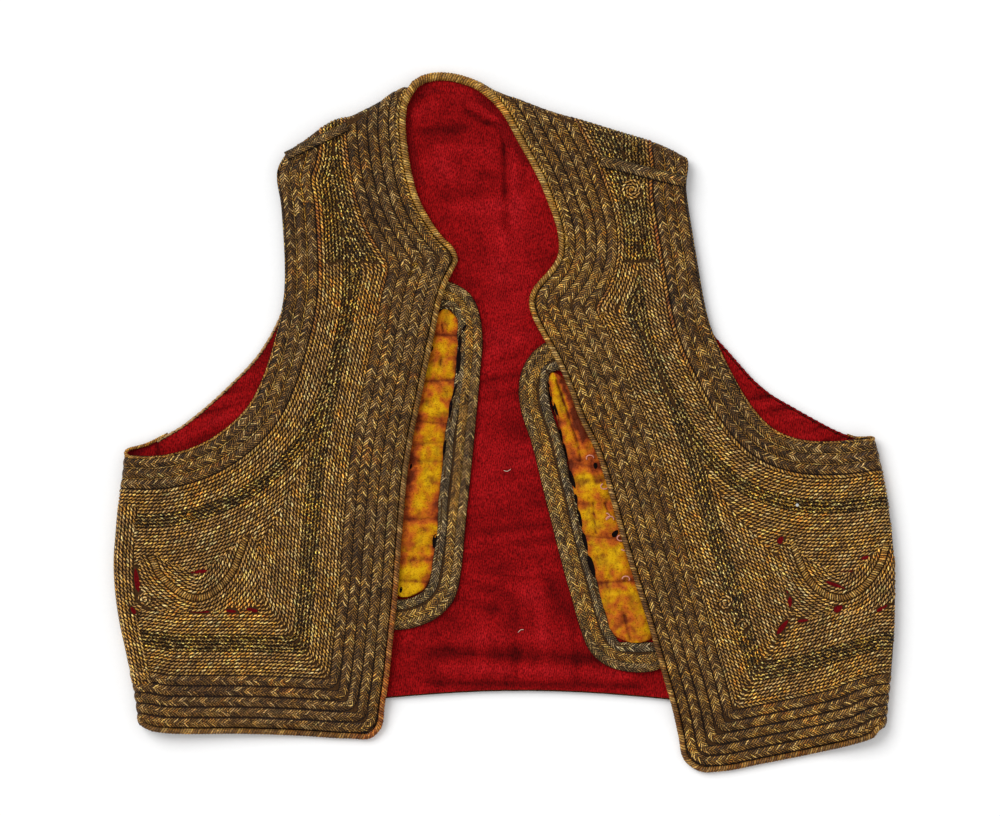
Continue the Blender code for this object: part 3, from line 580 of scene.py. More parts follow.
# %% Slanted strands
def strands_group():
    net, given, result = new_group(
        "Slanted strands", ("Across", "Along", "Width", "Slant", "Plait", "Seed", "Rim shade sharpness"),
        ("Strand shade", "Height", "Chance", "Other chance"))
    plait, seed = given["Plait"], given["Seed"]
    centred = given["Across"] - 0.5
    folded = net.math("ABSOLUTE", centred)
    arm = folded * plait + centred * (1.0 - plait)
    far_side = net.math("GREATER_THAN", centred, 0.0) * plait
    place = net.node("CombineXYZ", {"X": given["Across"] * 2.2, "Y": given["Along"] * 0.45,
                                    "Z": seed * 60.0})["Vector"]
    sway = net.noise(place, 1.0, 1.0) - 0.5
    phase = given["Along"] / given["Width"] + arm * given["Slant"] + far_side * 0.5 + sway * 0.9
    hump = 1.0 - net.math("ABSOLUTE", net.math("FRACT", phase) * 2.0 - 1.0)
    net.set(result["Height"], hump)
    # painted shade: dark in the hollow between two turns and towards the ribbon's rims
    net.set(result["Strand shade"], hump * net.math("MULTIPLY", 0.5 - folded, given["Rim shade sharpness"], clamp=True))
    number = net.math("FLOOR", phase) + far_side * 311.0
    cell = net.node("CombineXYZ", {"X": number, "Y": seed * 977.0})["Vector"]
    chance = net.node("TexWhiteNoise", {"Vector": cell}, noise_dimensions="2D")
    net.set(result["Chance"], chance["Value"])
    net.set(result["Other chance"], net.node("SeparateColor", {"Color": chance["Color"]})["Green"])
    return net.tree


strands = strands_group()


# %% Age and handling
def age_group():
    net, given, result = new_group("Age", ("Color", "Motley", "Dirt"), ("Color",))
    place = net.here()
    patches = net.noise(place, 45.0) * 0.45 + net.noise(place, 290.0) * 0.55
    dye = net.ramp(patches, (0.34, (0.66, 0.82, 0.74)), (0.41, (0.84, 0.84, 0.96)),
                   (0.48, (1.0, 0.98, 1.0)), (0.56, (1.15, 1.15, 0.66)), (0.64, (1.50, 1.02, 0.45)))
    dyed = net.mix(given["Motley"], given["Color"], net.mix(1.0, given["Color"], dye, "MULTIPLY"))
    dirt = net.math("SUBTRACT", net.noise(place, 110.0, 3.0), 0.42, clamp=True) * given["Dirt"]
    shade = 1.0 - net.math("MULTIPLY", dirt, 2.4, clamp=True)
    grey = net.node("CombineColor", {"Red": shade, "Green": shade, "Blue": shade})["Color"]
    net.set(result["Color"], net.mix(1.0, dyed, grey, "MULTIPLY"))
    return net.tree


age = age_group()


# %% Twill weave
def twill_group():
    net, given, result = new_group("Twill weave", ("Thread", "Nap"), ("Weave",))
    place = net.here()
    axes = net.node("SeparateXYZ", {"Vector": place})
    slope = axes["X"] * (1 / MM) + axes["Y"] * (0.15 / MM)
    rib = net.math("SINE", slope / given["Thread"] * (2 * math.pi)) * 0.16 + 0.5
    stretched = net.node("Mapping", {"Vector": place, "Scale": (1.0, 0.5, 1.0)})["Vector"]
    fibres = net.noise(stretched, 1250.0)
    net.set(result["Weave"], rib + (fibres - 0.5) * given["Nap"])
    return net.tree


twill = twill_group()


# %% [markdown]
# ## The threaded materials
# Couched thread is a core of silk wrapped with thin gilt strip. Each turn catches the light on its
# crown and falls dark between, and that dark is painted into the colour as shade. The gilt has worn
# off many turns, so the colour jumps from strand to strand. Every ribbon of thread that is laid below
# carries its own random number, its share of gold, its share of silver and how dark the painted shade
# in its furrows is, painted on the mesh as a colour attribute that the materials read.

# %% Threaded materials
def new_material(name):
    material = bpy.data.materials.new(name)
    material.use_nodes = True
    return material, Net(material.node_tree)


def surface(net, colour, rough, shine, height=None, strength=0.0, depth=0.0, metal=0.0):
    """Set the shader's colour and gloss, and a relief `depth` millimetres deep; gives its inputs."""
    inputs = net.tree.nodes["Principled BSDF"].inputs
    for name, value in (("Base Color", colour), ("Roughness", rough), ("Metallic", metal),
                        ("Specular IOR Level", shine)):
        net.set(inputs[name], value)
    if height is not None:
        bump = net.node("Bump", {"Strength": strength, "Distance": depth * MM, "Height": height})
        net.set(inputs["Normal"], bump["Normal"])
    return inputs


GILT = ((0.30, 0.13, 0.014), (0.62, 0.31, 0.050), (0.95, 0.60, 0.13))
SILVER = ((0.060, 0.050, 0.030), (0.210, 0.180, 0.115), (0.560, 0.500, 0.340))
RED_GILT = ((0.240, 0.055, 0.014), (0.480, 0.150, 0.032), (0.700, 0.300, 0.070))


def thread_material(name, worn, relief, width, slant, plait=0.0, rim_shade_sharpness=9.0, gilt=GILT, third=SILVER,
                    motley=0.6, rough=0.40, metal=0.2, fray=0.5, grain=880.0, groove_shade_share=1.0):
    """Slanted strands over a ribbon: four worn colours from dark to light, then gilt and a third, with
    painted shade between the strands and at the rims.
    """
    material, net = new_material(name)
    axes = net.node("SeparateXYZ", {"Vector": net.node("UVMap", uv_map="thread")["UV"]})
    own = net.painted()
    # the ribbon's rims get painted shade, wider where the painted furrow shade is deeper
    rim = net.math("DIVIDE", rim_shade_sharpness, own["Alpha"])
    drawn = net.node("Group", {"Across": axes["X"], "Along": axes["Y"], "Width": width, "Slant": slant,
                               "Plait": plait, "Seed": own["Red"], "Rim shade sharpness": rim}, node_tree=strands)
    base = net.ramp(drawn["Chance"], *zip((0.0, 0.42, 0.76, 1.0), worn))
    golden = net.ramp(drawn["Chance"], *zip((0.0, 0.6, 1.0), gilt))
    pale = net.ramp(drawn["Chance"], *zip((0.0, 0.6, 1.0), third))
    colour = net.mix(own["Blue"], net.mix(own["Green"], base, golden), pale)
    aged = net.node("Group", {"Color": colour, "Motley": motley, "Dirt": 0.45}, node_tree=age)["Color"]
    # painted shade in the hollows between strands and at the ribbon's rims
    groove_shade = net.ramp(drawn["Strand shade"], (0.0, (0.02, 0.010, 0.005)), (0.30, (0.09, 0.060, 0.036)),
                      (0.66, (0.96, 0.94, 0.90)), (1.0, (1.0, 1.0, 1.0)))
    frayed = net.ramp(net.noise(net.here(), grain), (0.34, (1 - fray,) * 3), (0.50, (1.0, 1.0, 1.0)),
                      (0.64, (1 + 1.2 * fray, 1 + 1.15 * fray, 1 + 0.9 * fray)))
    groove_shaded = net.mix(groove_shade_share, aged, groove_shade, "MULTIPLY")
    surface(net, net.mix(1.0, groove_shaded, frayed, "MULTIPLY"), drawn["Other chance"] * 0.3 + rough, 0.18,
            drawn["Height"], 0.9, relief, drawn["Other chance"] * metal)
    return material


couched_thread = thread_material(
    "couched_gilt_thread", ((0.350, 0.175, 0.038), (0.500, 0.265, 0.068), (0.850, 0.480, 0.138),
                            (1.0, 0.78, 0.330)),
    relief=0.45, width=3.0, slant=1.1, rim_shade_sharpness=3.2, motley=0.9)
knotted_thread = thread_material(
    "knotted_chain_thread", ((0.040, 0.020, 0.005), (0.230, 0.120, 0.028), (0.740, 0.440, 0.115),
                             (1.0, 0.84, 0.300)),
    relief=0.8, width=2.7, slant=0.95, plait=1.0, rim_shade_sharpness=3.0,
    gilt=((0.30, 0.15, 0.010), (0.66, 0.38, 0.032), (1.0, 0.68, 0.09)), motley=1.0, fray=0.95)
flat_braid = thread_material(
    "flat_silk_braid", ((0.045, 0.020, 0.006), (0.152, 0.072, 0.018), (0.310, 0.162, 0.044),
                        (0.640, 0.425, 0.165)),
    relief=0.35, width=2.1, slant=3.8, plait=1.0, rim_shade_sharpness=6.0,
    gilt=((0.17, 0.070, 0.010), (0.44, 0.21, 0.032), (0.80, 0.50, 0.11)), motley=0.7,
    rough=0.45, metal=0.15, fray=0.98, grain=1250.0)
gilt_thread = thread_material(
    "gilt_line_thread", ((0.240, 0.120, 0.030), (0.400, 0.215, 0.056), (0.620, 0.370, 0.110),
                         (0.95, 0.70, 0.300)),
    relief=0.5, width=2.7, slant=1.0, rim_shade_sharpness=3.6,
    gilt=((0.34, 0.15, 0.018), (0.64, 0.32, 0.044), (0.92, 0.60, 0.13)), third=RED_GILT,
    rough=0.38, metal=0.25)
edge_cord_finish = thread_material(
    "edge_cord", ((0.100, 0.046, 0.012), (0.170, 0.084, 0.022), (0.270, 0.145, 0.040),
                  (0.560, 0.350, 0.120)),
    relief=0.4, width=1.9, slant=3.2, groove_shade_share=0.75,
    gilt=((0.300, 0.130, 0.022), (0.500, 0.260, 0.052), (0.780, 0.500, 0.150)), third=RED_GILT)
wrapped_thread = thread_material(
    "wrapped_gilt_cord", ((0.210, 0.103, 0.026), (0.340, 0.175, 0.045), (0.500, 0.280, 0.080),
                          (0.800, 0.520, 0.200)),
    relief=0.6, width=1.7, slant=0.6)
print("threaded materials:", couched_thread.name, knotted_thread.name, flat_braid.name)

# %% [markdown]
# ## Cloth materials
# The lining is a thick wool twill, felted a little by wear, with painted light and shade along its
# folds. The ground under the thread is the same wool, but almost no light gets down to it, so it is
# painted darker; the red in the gaps and the facing behind the neck cord are darker copies of the
# lining, painted for shade too. The silk is thin and smooth, and its dye has run from orange to
# yellow; it also has painted shade at its seams, creases and edges.

# %% Wool, silk and table
def wool_material(name, low, high, thread=1.3, nap=2.3, sheen=0.08, fold_shaded=False):
    """A twill from its dark to its light colour; a fold-shaded one has painted shade in its creases and
    painted light where it is pushed up.
    """
    material, net = new_material(name)
    weave = net.node("Group", {"Thread": thread, "Nap": nap}, node_tree=twill)["Weave"]
    worn = net.node("Group", {"Color": net.ramp(weave, (0.1, low), (0.95, high)), "Motley": 0.0,
                              "Dirt": 0.35}, node_tree=age)["Color"]
    if fold_shaded:
        # painted shade and light of the lining's folds, read from the painted height
        fold_light_and_shade = net.ramp(net.painted()["Red"], (0.0, (0.30, 0.24, 0.26)), (0.30, (0.72, 0.66, 0.70)),
                          (0.5, (1.0, 1.0, 1.0)), (0.8, (1.28, 1.7, 1.8)), (1.0, (1.45, 2.4, 2.6)))
        worn = net.mix(1.0, worn, fold_light_and_shade, "MULTIPLY")
    inputs = surface(net, worn, 0.9, 0.06, weave, 0.6, 0.2)
    for title, value in (("Weight", sheen), ("Roughness", 0.5), ("Tint", (*high, 1.0))):
        net.set(inputs["Sheen " + title], value)
    return material


red_twill = wool_material("red_wool_twill", (0.095, 0.0004, 0.0009), (0.375, 0.0050, 0.0060), fold_shaded=True)
shaded_lining_red = wool_material("red_lining_in_shade", (0.070, 0.0004, 0.0009), (0.270, 0.0040, 0.0052))
deep_red = wool_material("red_wool_in_shade", (0.060, 0.0006, 0.0014), (0.200, 0.0030, 0.0060), nap=1.8, sheen=0.0)
shaded_ground_wool = wool_material("shaded_ground_wool", (0.022, 0.009, 0.003), (0.090, 0.042, 0.014), 0.9, 1.2, 0.0)


def silk_material():
    material, net = new_material("gathered_silk")
    own, place = net.painted(), net.here()
    blotch = net.noise(place, 170.0, 4.0) - 0.5
    cloud = net.noise(place, 60.0) - 0.5
    # Red: how brown the dye and the painted shade make it; Green: stains and painted shade, mixed towards
    # dark brown
    brown_dye_and_shade = net.math("ADD", own["Red"], blotch * 1.3 + cloud * 0.9, clamp=True)
    colour = net.ramp(brown_dye_and_shade, (0.0, (0.620, 0.340, 0.004)), (0.28, (0.545, 0.225, 0.003)),
                      (0.55, (0.520, 0.118, 0.010)), (0.78, (0.340, 0.056, 0.010)),
                      (1.0, (0.120, 0.020, 0.007)))
    stain_and_shade = net.math("ADD", own["Green"], blotch * 0.9, clamp=True)
    stained_and_shaded = net.mix(stain_and_shade, colour, (0.110, 0.018, 0.006, 1.0))
    grain = net.noise(place, 1100.0, 3.0)
    speck = net.ramp(grain, (0.32, (0.50, 0.42, 0.30)), (0.46, (1.0, 1.0, 1.0)), (0.70, (1.1, 1.1, 1.05)))
    surface(net, net.mix(1.0, stained_and_shaded, speck, "MULTIPLY"), 0.5, 0.03, grain + blotch, 0.5, 0.3)
    return material


gathered_silk = silk_material()


def plain_material(name, colour, rough, metal=0.0, shine=0.5):
    material, net = new_material(name)
    fleck = net.noise(net.here(), 1400.0)
    dark = tuple(0.62 * part for part in colour)
    surface(net, net.ramp(fleck, (0.3, dark), (0.7, colour)), rough, shine, fleck, 0.3, 0.1, metal)
    return material


white_table, net = new_material("white_table")
surface(net, net.ramp(net.noise(net.here(), 300.0), (0.0, (0.96,) * 3), (1.0, (0.99,) * 3)), 0.8, 0.1)
floor_mesh.materials.append(white_table)

# %% [markdown]
# ## Ribbons of thread
# Every cord and every row of braid is a long narrow ribbon with a rounded back, laid along a line.
# Real geometry is worth it here, because light catches the side of each cord, and the darkness
# between two of them is what makes the rows read. The ribbons of one panel are joined in one mesh.
# Each ribbon's texture place is its share across and its length along in millimetres, so the
# strands keep their width on every cord.

# %% A mesh made of ribbons
rng = np.random.default_rng(11)
CORD_BACK = ((-0.5, -0.25), (-0.37, 0.55), (0.0, 0.85), (0.37, 0.55), (0.5, -0.25))
BRAID_BACK = ((-0.5, 0.1), (-0.43, 0.45), (-0.22, 0.6), (0.0, 0.38), (0.22, 0.6), (0.43, 0.45),
              (0.5, 0.1))
RIM_BACK = ((-0.68, -0.8), *BRAID_BACK)      # the outermost row turns down over the edge


def grid(rows, columns, first=0):
    """Faces between the rows of a grid of points that are numbered from `first`."""
    here = first + np.arange(rows - 1)[:, None] * columns + np.arange(columns - 1)
    return np.stack([here, here + columns, here + columns + 1, here + 1], axis=-1).reshape(-1, 4)


def paint_mesh(mesh, paint):
    """Give each point four numbers, which the materials read as a colour."""
    layer = mesh.color_attributes.new("finish_and_shade", "FLOAT_COLOR", "POINT")
    layer.data.foreach_set("color", paint.astype(np.float32).ravel())


def piece_from(name, points, faces, material, paint=None, smooth_faces=True):
    """A piece of the garment, from points in millimetres."""
    mesh = bpy.data.meshes.new(name)
    mesh.from_pydata(((np.array(points) - MIDDLE) * MM).tolist(), [], faces)
    if paint is not None:
        paint_mesh(mesh, paint)
    if smooth_faces:
        mesh.shade_smooth()
    return add_object(name, mesh, material)


class Ribbons:
    """Collects ribbons along lines and makes them one mesh."""

    def __init__(self):
        self.points, self.faces, self.places, self.paints = [], [], [], []
        self.count = 0

    def add(self, columns, across, gold=0.0, silver=0.0, deep=1.0, turned=False, headed=False):
        """A ribbon through columns of points; a headed one keeps its plait pointing up or left."""
        columns = np.array(columns)
        wide, long = columns.shape[:2]
        course = np.diff(columns[wide // 2], axis=0)
        steps = np.linalg.norm(course, axis=1)
        if headed:
            steps = np.where(course[:, 1] > course[:, 0], steps, -steps)
        along = np.concatenate([[0.0], np.cumsum(steps)]) + rng.uniform(0, 50)
        across = 1 - np.array(across) if turned else np.array(across)
        tone = rng.uniform()
        self.points.append(columns.reshape(-1, 3))
        self.places.append(np.column_stack([np.repeat(across, long), np.tile(along, wide)]))
        # four painted numbers: a random tone, gold, silver, and how dark the painted shade in its furrows is
        paint = np.ones((long, 1)) * np.stack(np.broadcast_arrays(tone, gold, silver, deep), axis=-1)
        self.paints.append(np.tile(paint, (wide, 1)))
        faces = grid(wide, long, self.count)
        a, b = np.diff(columns, axis=0)[:, :-1], np.diff(columns, axis=1)[:-1]
        if (a[..., 0] * b[..., 1] - a[..., 1] * b[..., 0]).sum() < 0:
            faces = faces[:, ::-1]
        self.faces.append(faces)
        self.count += wide * long

    def lay(self, line, place, width, back=CORD_BACK, rise=1.0, closed=False, **finish_and_shade):
        """A ribbon along a flat line, laid by `place(points, lift)`."""
        if closed:
            line = np.vstack([line, line[:1]])
        normals = normals_of(line)
        columns = [place(line + normals * share * width, lift * rise) for share, lift in back]
        self.add(columns, [min(max(share + 0.5, 0.0), 1.0) for share, lift in back], **finish_and_shade)

    def build(self, name, material):
        points, faces = np.vstack(self.points), np.vstack(self.faces)
        points[:, 2] = np.maximum(points[:, 2], 0.0)
        item = piece_from(name, points, faces.tolist(), material, np.vstack(self.paints))
        places = np.vstack(self.places)[faces.ravel()]
        item.data.uv_layers.new(name="thread").data.foreach_set("uv", places.astype(np.float32).ravel())
        print(f"{name}: {len(faces) * 2} triangles in {len(self.faces)} ribbons")
        return item


# %% [markdown]
# ## The ground cloth
# Under the thread lies the panel itself. Its form is the imported solid's, copied into a new mesh, so
# the ridges of the braid rows and the rolled sides are already right. It is given a dark wool, painted
# dark for the shade between the cords, which shows only between the cords, at the turned edges and
# underneath.

# %% Ground cloth of the fronts, the plackets and the back
def cloth_from(node, name, material):
    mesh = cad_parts[node].data.copy()
    mesh.name = name
    mesh.materials.clear()
    mesh.shade_smooth()
    mesh.set_sharp_from_angle(angle=math.radians(50))
    item = add_object(name, mesh, material)
    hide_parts(node)
    return item


ground = {}
for half in halves:
    for panel in ("front", "placket"):
        node = f"{panel}_{half.word}"
        ground[node] = cloth_from(node, f"{node}_cloth", shaded_ground_wool)
ground["back"] = cloth_from("back", "back_cloth", shaded_ground_wool)
print("ground cloth:", sorted(ground))

# %% Round off the shoulder corners
CORNER_REACH = 14.0     # how far in from the edge the cloth is moved
BESIDE = 200.0          # the armhole is followed as far out as this
CORNER_TOP = 200.0
SLOPE_START, SLOPE_FULL = 168.0, 178.0      # the moved back takes the shoulder's slope between these
# How far the cloth's edge moves out at each shoulder: up, distance
FRONT_EASE = {"right": ((150, 0), (162.3, 1.6), (171, 2.5), (177.2, 1.7), (182, 0)),
              "left": ((160, 0), (167, 0.5), (172, 0))}
BACK_EASE = {"right": ((158, 0), (171, 4.5), (177.2, 5.5), (181, 3.8), (185.5, 1.4), (190, 1.0)),
             "left": ((150, 0), (160, 3.0), (171, 4.6), (181.8, 6.2), (186, 5.0), (190, 5.0))}


def ease_corner(node, half, edge, table):
    """Move a panel's cloth outwards near its shoulder corner, most at the edge."""
    mesh = ground[node].data
    ups, shifts = np.array(table).T
    line = edge[edge[:, 0] < BESIDE]
    line = line[np.argsort(line[:, 1])]
    for vert in mesh.vertices:
        out, up = half.sign * vert.co.x / MM + half.sign * MIDDLE[0], vert.co.y / MM + MIDDLE[1]
        if out > 0 and ups[0] < up < CORNER_TOP:
            start = np.interp(up, line[:, 1], line[:, 0]) - CORNER_REACH
            share = ease((out - start) / CORNER_REACH)
            shift = share * np.interp(up, ups, shifts)
            vert.co.x += half.sign * shift * MM
            if node == "back":
                slope = level(half.shoulder, out + shift) - level(half.shoulder, out)
                share = ease((up - SLOPE_START) / (SLOPE_FULL - SLOPE_START))
                vert.co.y += float(slope * share) * MM
    trees[node] = ray_tree(mesh)


for half in halves:
    ease_corner("front_" + half.word, half, half.armhole, FRONT_EASE[half.word])
    ease_corner("back", half, half.back_armhole, BACK_EASE[half.word])

# %% [markdown]
# ## Rows of flat braid
# Five rows of plaited silk braid follow the neck, the front edge and the hem without a break, and
# three follow the armhole. The maker mitres them at each corner. Each row is a ribbon on a line
# parallel to the edge. Where two parallels would cross at a corner, their points fall nearer to the
# edge than they should, so those points are dropped and the rest meet in a mitre.

# %% Border braid on the fronts
BORDER = EDGE_ROWS * BRAID
ARM_BORDER = ARMHOLE_ROWS * BRAID
ARM_LINE = 2.8          # the gilt line inside the armhole rows
EDGE_LINE = 2.2
ROUND_SHOULDER = 0.62   # share of the shoulder's turn that thread covers
NEAR_SHOULDER = 12.0    # this near the shoulder's fold, nothing lies beyond the end of the neck
# Painted shade in the furrows between the edge rows, darker low down and high up: up, share
ROW_FURROW_SHADE = ((-200, -150, 100, 140), (0.95, 0.45, 0.32, 0.65))   # how dark the furrows are: up, depth


def on_cloth(half, line):
    """Points that are on the front or the turned-over back, as far as the fold's far side."""
    top = level(half.shoulder, line[:, 0]) - FOLD_REACH
    past_neck = (line[:, 1] >= top - NEAR_SHOULDER) & (line[:, 0] <= half.shoulder[0][0] - 1.0)
    return (line[:, 1] < top + ROUND_SHOULDER * turn_length(SHOULDER_HEIGHT)) & ~past_neck


def lay_on_cloth(made, half, line, width, kept=True, **finish_and_shade):
    """A ribbon on each stretch of a line that is on the cloth; a finish and its painted shade may be worked
    out for each.
    """
    for run in runs(line, on_cloth(half, line) & kept):
        made.lay(run, half.lay, width, **{name: value(run) if callable(value) else value
                                          for name, value in finish_and_shade.items()})


right.row_gold, left.row_gold = 0.06, 0.24      # share of gilt left in the rows of the edge
RIM_GOLD = 0.1          # and how much more is left in the outermost one
border = {}
for half in halves:
    made = Ribbons()
    for row in range(EDGE_ROWS):
        lay_on_cloth(made, half, parallel(half.neck_line, (row + 0.5) * BRAID, rounding=3), BRAID * 0.98,
                     back=BRAID_BACK if row else RIM_BACK, rise=0.6, headed=True,
                     deep=lambda run: np.interp(run[:, 1], *ROW_FURROW_SHADE),
                     gold=half.row_gold + (0.0 if row else RIM_GOLD))
    for row in range(ARMHOLE_ROWS):
        lay_on_cloth(made, half, parallel(half.arm_line, (row + 0.5) * BRAID), BRAID * 0.98,
                     back=BRAID_BACK if row else RIM_BACK, rise=0.7, headed=True, deep=0.9)
    border[half.word] = made.build(f"border_braid_{half.word}", flat_braid)

# %% [markdown]
# ## Couched cords
# Inside the borders the maker lays one twisted cord after another, each against the last, and
# stitches them down. The cords nearest the front edge follow it, and those nearest the armhole
# follow that, so the two families meet along a line where they are equally far from their borders.
# A cord is kept only on its own side of that line. Low down near the side a crescent is worked in
# one thick wrapped cord, with its own family of cords round it, and small gaps show the red ground.

# %% Crescents, curls and gaps, in millimetres: out, up
PITCH = 2.4
CORD_STEP = 2.2
right.crescent = smooth((
    (245.1, -98.5), (242.6, -104.9), (237, -111.3), (230.6, -116.9), (224.1, -121),
    (216.1, -123.3), (208.1, -121.8), (200.8, -116.9), (194.4, -110.5), (189.6, -103.3),
    (186.4, -95.2), (184, -88.8),
))[0]
left.crescent = smooth((
    (202.2, -85.6), (206.2, -96.9), (211, -107.3), (217.4, -115.4), (225.5, -121),
    (235.1, -123.4), (244.7, -120.2), (252.8, -113.8), (259.2, -105.7), (264, -96.9),
    (266.4, -88),
))[0]
right.arms, left.arms = (5.0, 9.0), (3.0, 3.0)      # how far its thick cord runs on at each end
# The field that each crescent's own cords fill
right.field = np.array((
    (254.5, -93.8), (246.8, -91), (237.7, -96.6), (227.2, -102.2), (213.9, -105),
    (203.4, -98.7), (193.6, -91), (185.2, -82.6), (178.2, -77), (172.6, -86.1),
    (169.8, -107.1), (172.6, -124.6), (175.4, -132.3), (260.1, -132.3), (258.7, -121.1),
    (255.9, -103.6),
))
left.field = np.array((
    (193.6, -84.7), (199.9, -86.8), (206.2, -91), (215.3, -97.3), (227.2, -103.6),
    (237, -106.4), (246.8, -102.2), (255.2, -95.9), (262.9, -89.6), (268.5, -82.6),
    (274.8, -96.6), (274.1, -117.6), (272, -127.4), (250.3, -133), (233.5, -133),
    (217.4, -137.9), (204.8, -139.3), (199.2, -126), (195.7, -110.6), (192.2, -93.8),
))
# Gaps between the cords: out, up, length, width, angle in degrees from the horizontal
RIGHT_GAPS = (
    (257.2, -110.6, 17, 3.4, 82), (259.7, -131.8, 6, 2.6, 60), (213.8, -104.8, 13, 2.4, -6),
    (213, -132.8, 14, 1.5, 0), (192, -132.3, 9, 2.0, 6), (176.8, -131.6, 9, 2.6, 12),
)
LEFT_GAPS = (
    (193.2, -82.6, 6, 3.6, 60), (199.6, -126, 8, 3.0, 86), (194.6, -143.5, 13, 3.2, 52),
    (209, -139, 8, 2.0, 8), (231.4, -114.1, 15, 2.2, -20), (252.4, -95, 7, 2.4, 20),
    (233.5, -130.6, 7, 4.4, 30), (239, -104.6, 10, 1.3, 5), (264, -130.2, 9, 2.2, 32),
    (198.4, -117.6, 5, 1.8, 86),
)
# Curls: out, up, radius
right.curls = ((251.6, -124.4, 6.0),)
left.curls = ((154.8, -126.7, 6.4), (167, -142.1, 5.6), (89.2, 162.4, 8.6))
right.column, left.column = 12.6, 0.0       # width of the upright cords beside the side fold
COLUMN_TOP, COLUMN_END = -60.0, -182.0


def leaf(out, up, length, width, angle):
    """The outline of a small gap, pointed at both ends."""
    turn = math.radians(angle)
    t = np.linspace(-1, 1, 8)
    half_width = width / 2 * np.sqrt(np.clip(1 - t**2, 0, 1)) * (1 - 0.25 * t)
    shape = np.vstack([np.column_stack([t * length / 2, half_width]),
                       np.column_stack([t[::-1] * length / 2, -half_width[::-1]])[1:-1]])
    spin = np.array([[math.cos(turn), math.sin(turn)], [-math.sin(turn), math.cos(turn)]])
    return shape @ spin + (out, up)


right.gaps, left.gaps = [[leaf(*gap) for gap in table] for table in (RIGHT_GAPS, LEFT_GAPS)]


# %% Which points of a cord are free
FIELD_OVERLAP = 1.0


def free_of_details(half, line, in_field=False):
    """Points outside the gaps, the curls and, for a border's cords, the crescent's field."""
    free = on_cloth(half, line)
    for gap in half.gaps:
        free &= ~inside(line, gap)
    for out, up, radius in half.curls:
        free &= np.hypot(line[:, 0] - out, line[:, 1] - up) > radius - 1.4
    if not in_field:
        free &= ~inside(line, half.field) | (distance(line, half.field, True) < FIELD_OVERLAP)
    return free


def in_column(half, line):
    inward = half.fold_at(line[:, 1]) - line[:, 0]
    return (inward < half.column - 1.2) & (line[:, 1] < COLUMN_TOP) & (line[:, 1] > COLUMN_END)


# %% Cords that follow the borders
KNOTTED_EDGE = range(6, 11)     # which cords of each family are a rough knotted chain
KNOTTED_ARM = range(6, 10)
YOKE = 112.0                    # above this nearly all of them are
MEET = 0.5                      # the two families overlap by this much where they meet
MOST_CORDS = 60


def border_cords(half, made, chains):
    """Two families of cords, parallel to the front edge and hem, and to the armhole."""
    families = ((half.neck_line, BORDER + EDGE_LINE, KNOTTED_EDGE),
                (half.arm_line, ARM_BORDER + ARM_LINE, KNOTTED_ARM))
    for (line, start, knotted), (other, other_start, _) in (families, families[::-1]):
        for number in range(MOST_CORDS):
            depth = (number + 0.5) * PITCH
            cord = parallel(line, start + depth, step=CORD_STEP)
            if len(cord) < 3:
                break
            kept = distance(cord, other) - other_start > depth - MEET
            kept &= free_of_details(half, cord)
            kept &= ~in_column(half, cord)
            rough = (cord[:, 1] > YOKE) & (number > 0) | (number in knotted)
            for target, chosen in ((chains, rough), (made, ~rough)):
                for run in runs(cord, kept & chosen):
                    target.lay(run, half.lay, PITCH, turned=half.sign > 0,
                               gold=0.10 * rng.uniform() ** 2, rise=rng.uniform(0.85, 1.1))


def column_cords(half, made):
    """Upright cords beside the side fold."""
    if not half.column:
        return
    ups = np.linspace(COLUMN_END - 1.0, COLUMN_TOP + 1.5, 42)
    for inward in np.arange(half.column - PITCH / 2, -FOLD_REACH - 8, -PITCH):
        line = np.column_stack([half.fold_at(ups) - inward, ups])
        lay_on_cloth(made, half, line, PITCH, free_of_details(half, line), turned=half.sign > 0)


CRESCENT_BAND = 4.8         # width of the crescent's thick cord
CRESCENT_FURROW = 0.3       # bare ground beside it
CRESCENT_REACH = 26.0       # its line is carried on this far at each end, for the cords beside it
CRESCENT_CORDS = 22         # the most that are laid on one side of it


def crescent_cords(half, made, wraps):
    """The crescent's thick wrapped cord, and the cords on both sides of it inside its field."""
    first, last = half.crescent[0] - half.crescent[3], half.crescent[-1] - half.crescent[-4]
    first, last = first / np.linalg.norm(first), last / np.linalg.norm(last)

    def carried_on(before, after):
        ends = half.crescent[0] + first * before, half.crescent[-1] + last * after
        return spaced(np.vstack([ends[0], half.crescent, ends[1]]), 2.0)

    longer = carried_on(CRESCENT_REACH, CRESCENT_REACH)
    for side in (-1, 1):
        for number in range(CRESCENT_CORDS):
            depth = side * (CRESCENT_BAND / 2 + CRESCENT_FURROW + (number + 0.5) * PITCH)
            line = longer + depth * normals_of(longer)
            kept = distance(line, longer) > abs(depth) - 0.2
            kept &= inside(line, half.field) | (distance(line, half.field, True) < FIELD_OVERLAP)
            kept &= free_of_details(half, line, True)
            for run in runs(line, kept):
                made.lay(spaced(run, 2.0), half.lay, PITCH, turned=half.sign > 0)
    wraps.lay(carried_on(*half.arms), half.lay, CRESCENT_BAND, gold=0.35, rise=1.9)


def curl_cords(half, made):
    """A cord wound into each curl, from its rim to its middle."""
    for out, up, radius in half.curls:
        turns = radius / PITCH
        angle = np.linspace(0, 2 * math.pi * turns, round(22 * turns))
        reach = radius - PITCH / 2 - angle / (2 * math.pi) * PITCH
        reach = np.maximum(reach, 0.3)
        line = np.column_stack([out + reach * np.cos(angle), up + reach * np.sin(angle)])
        made.lay(line, half.lay, PITCH)


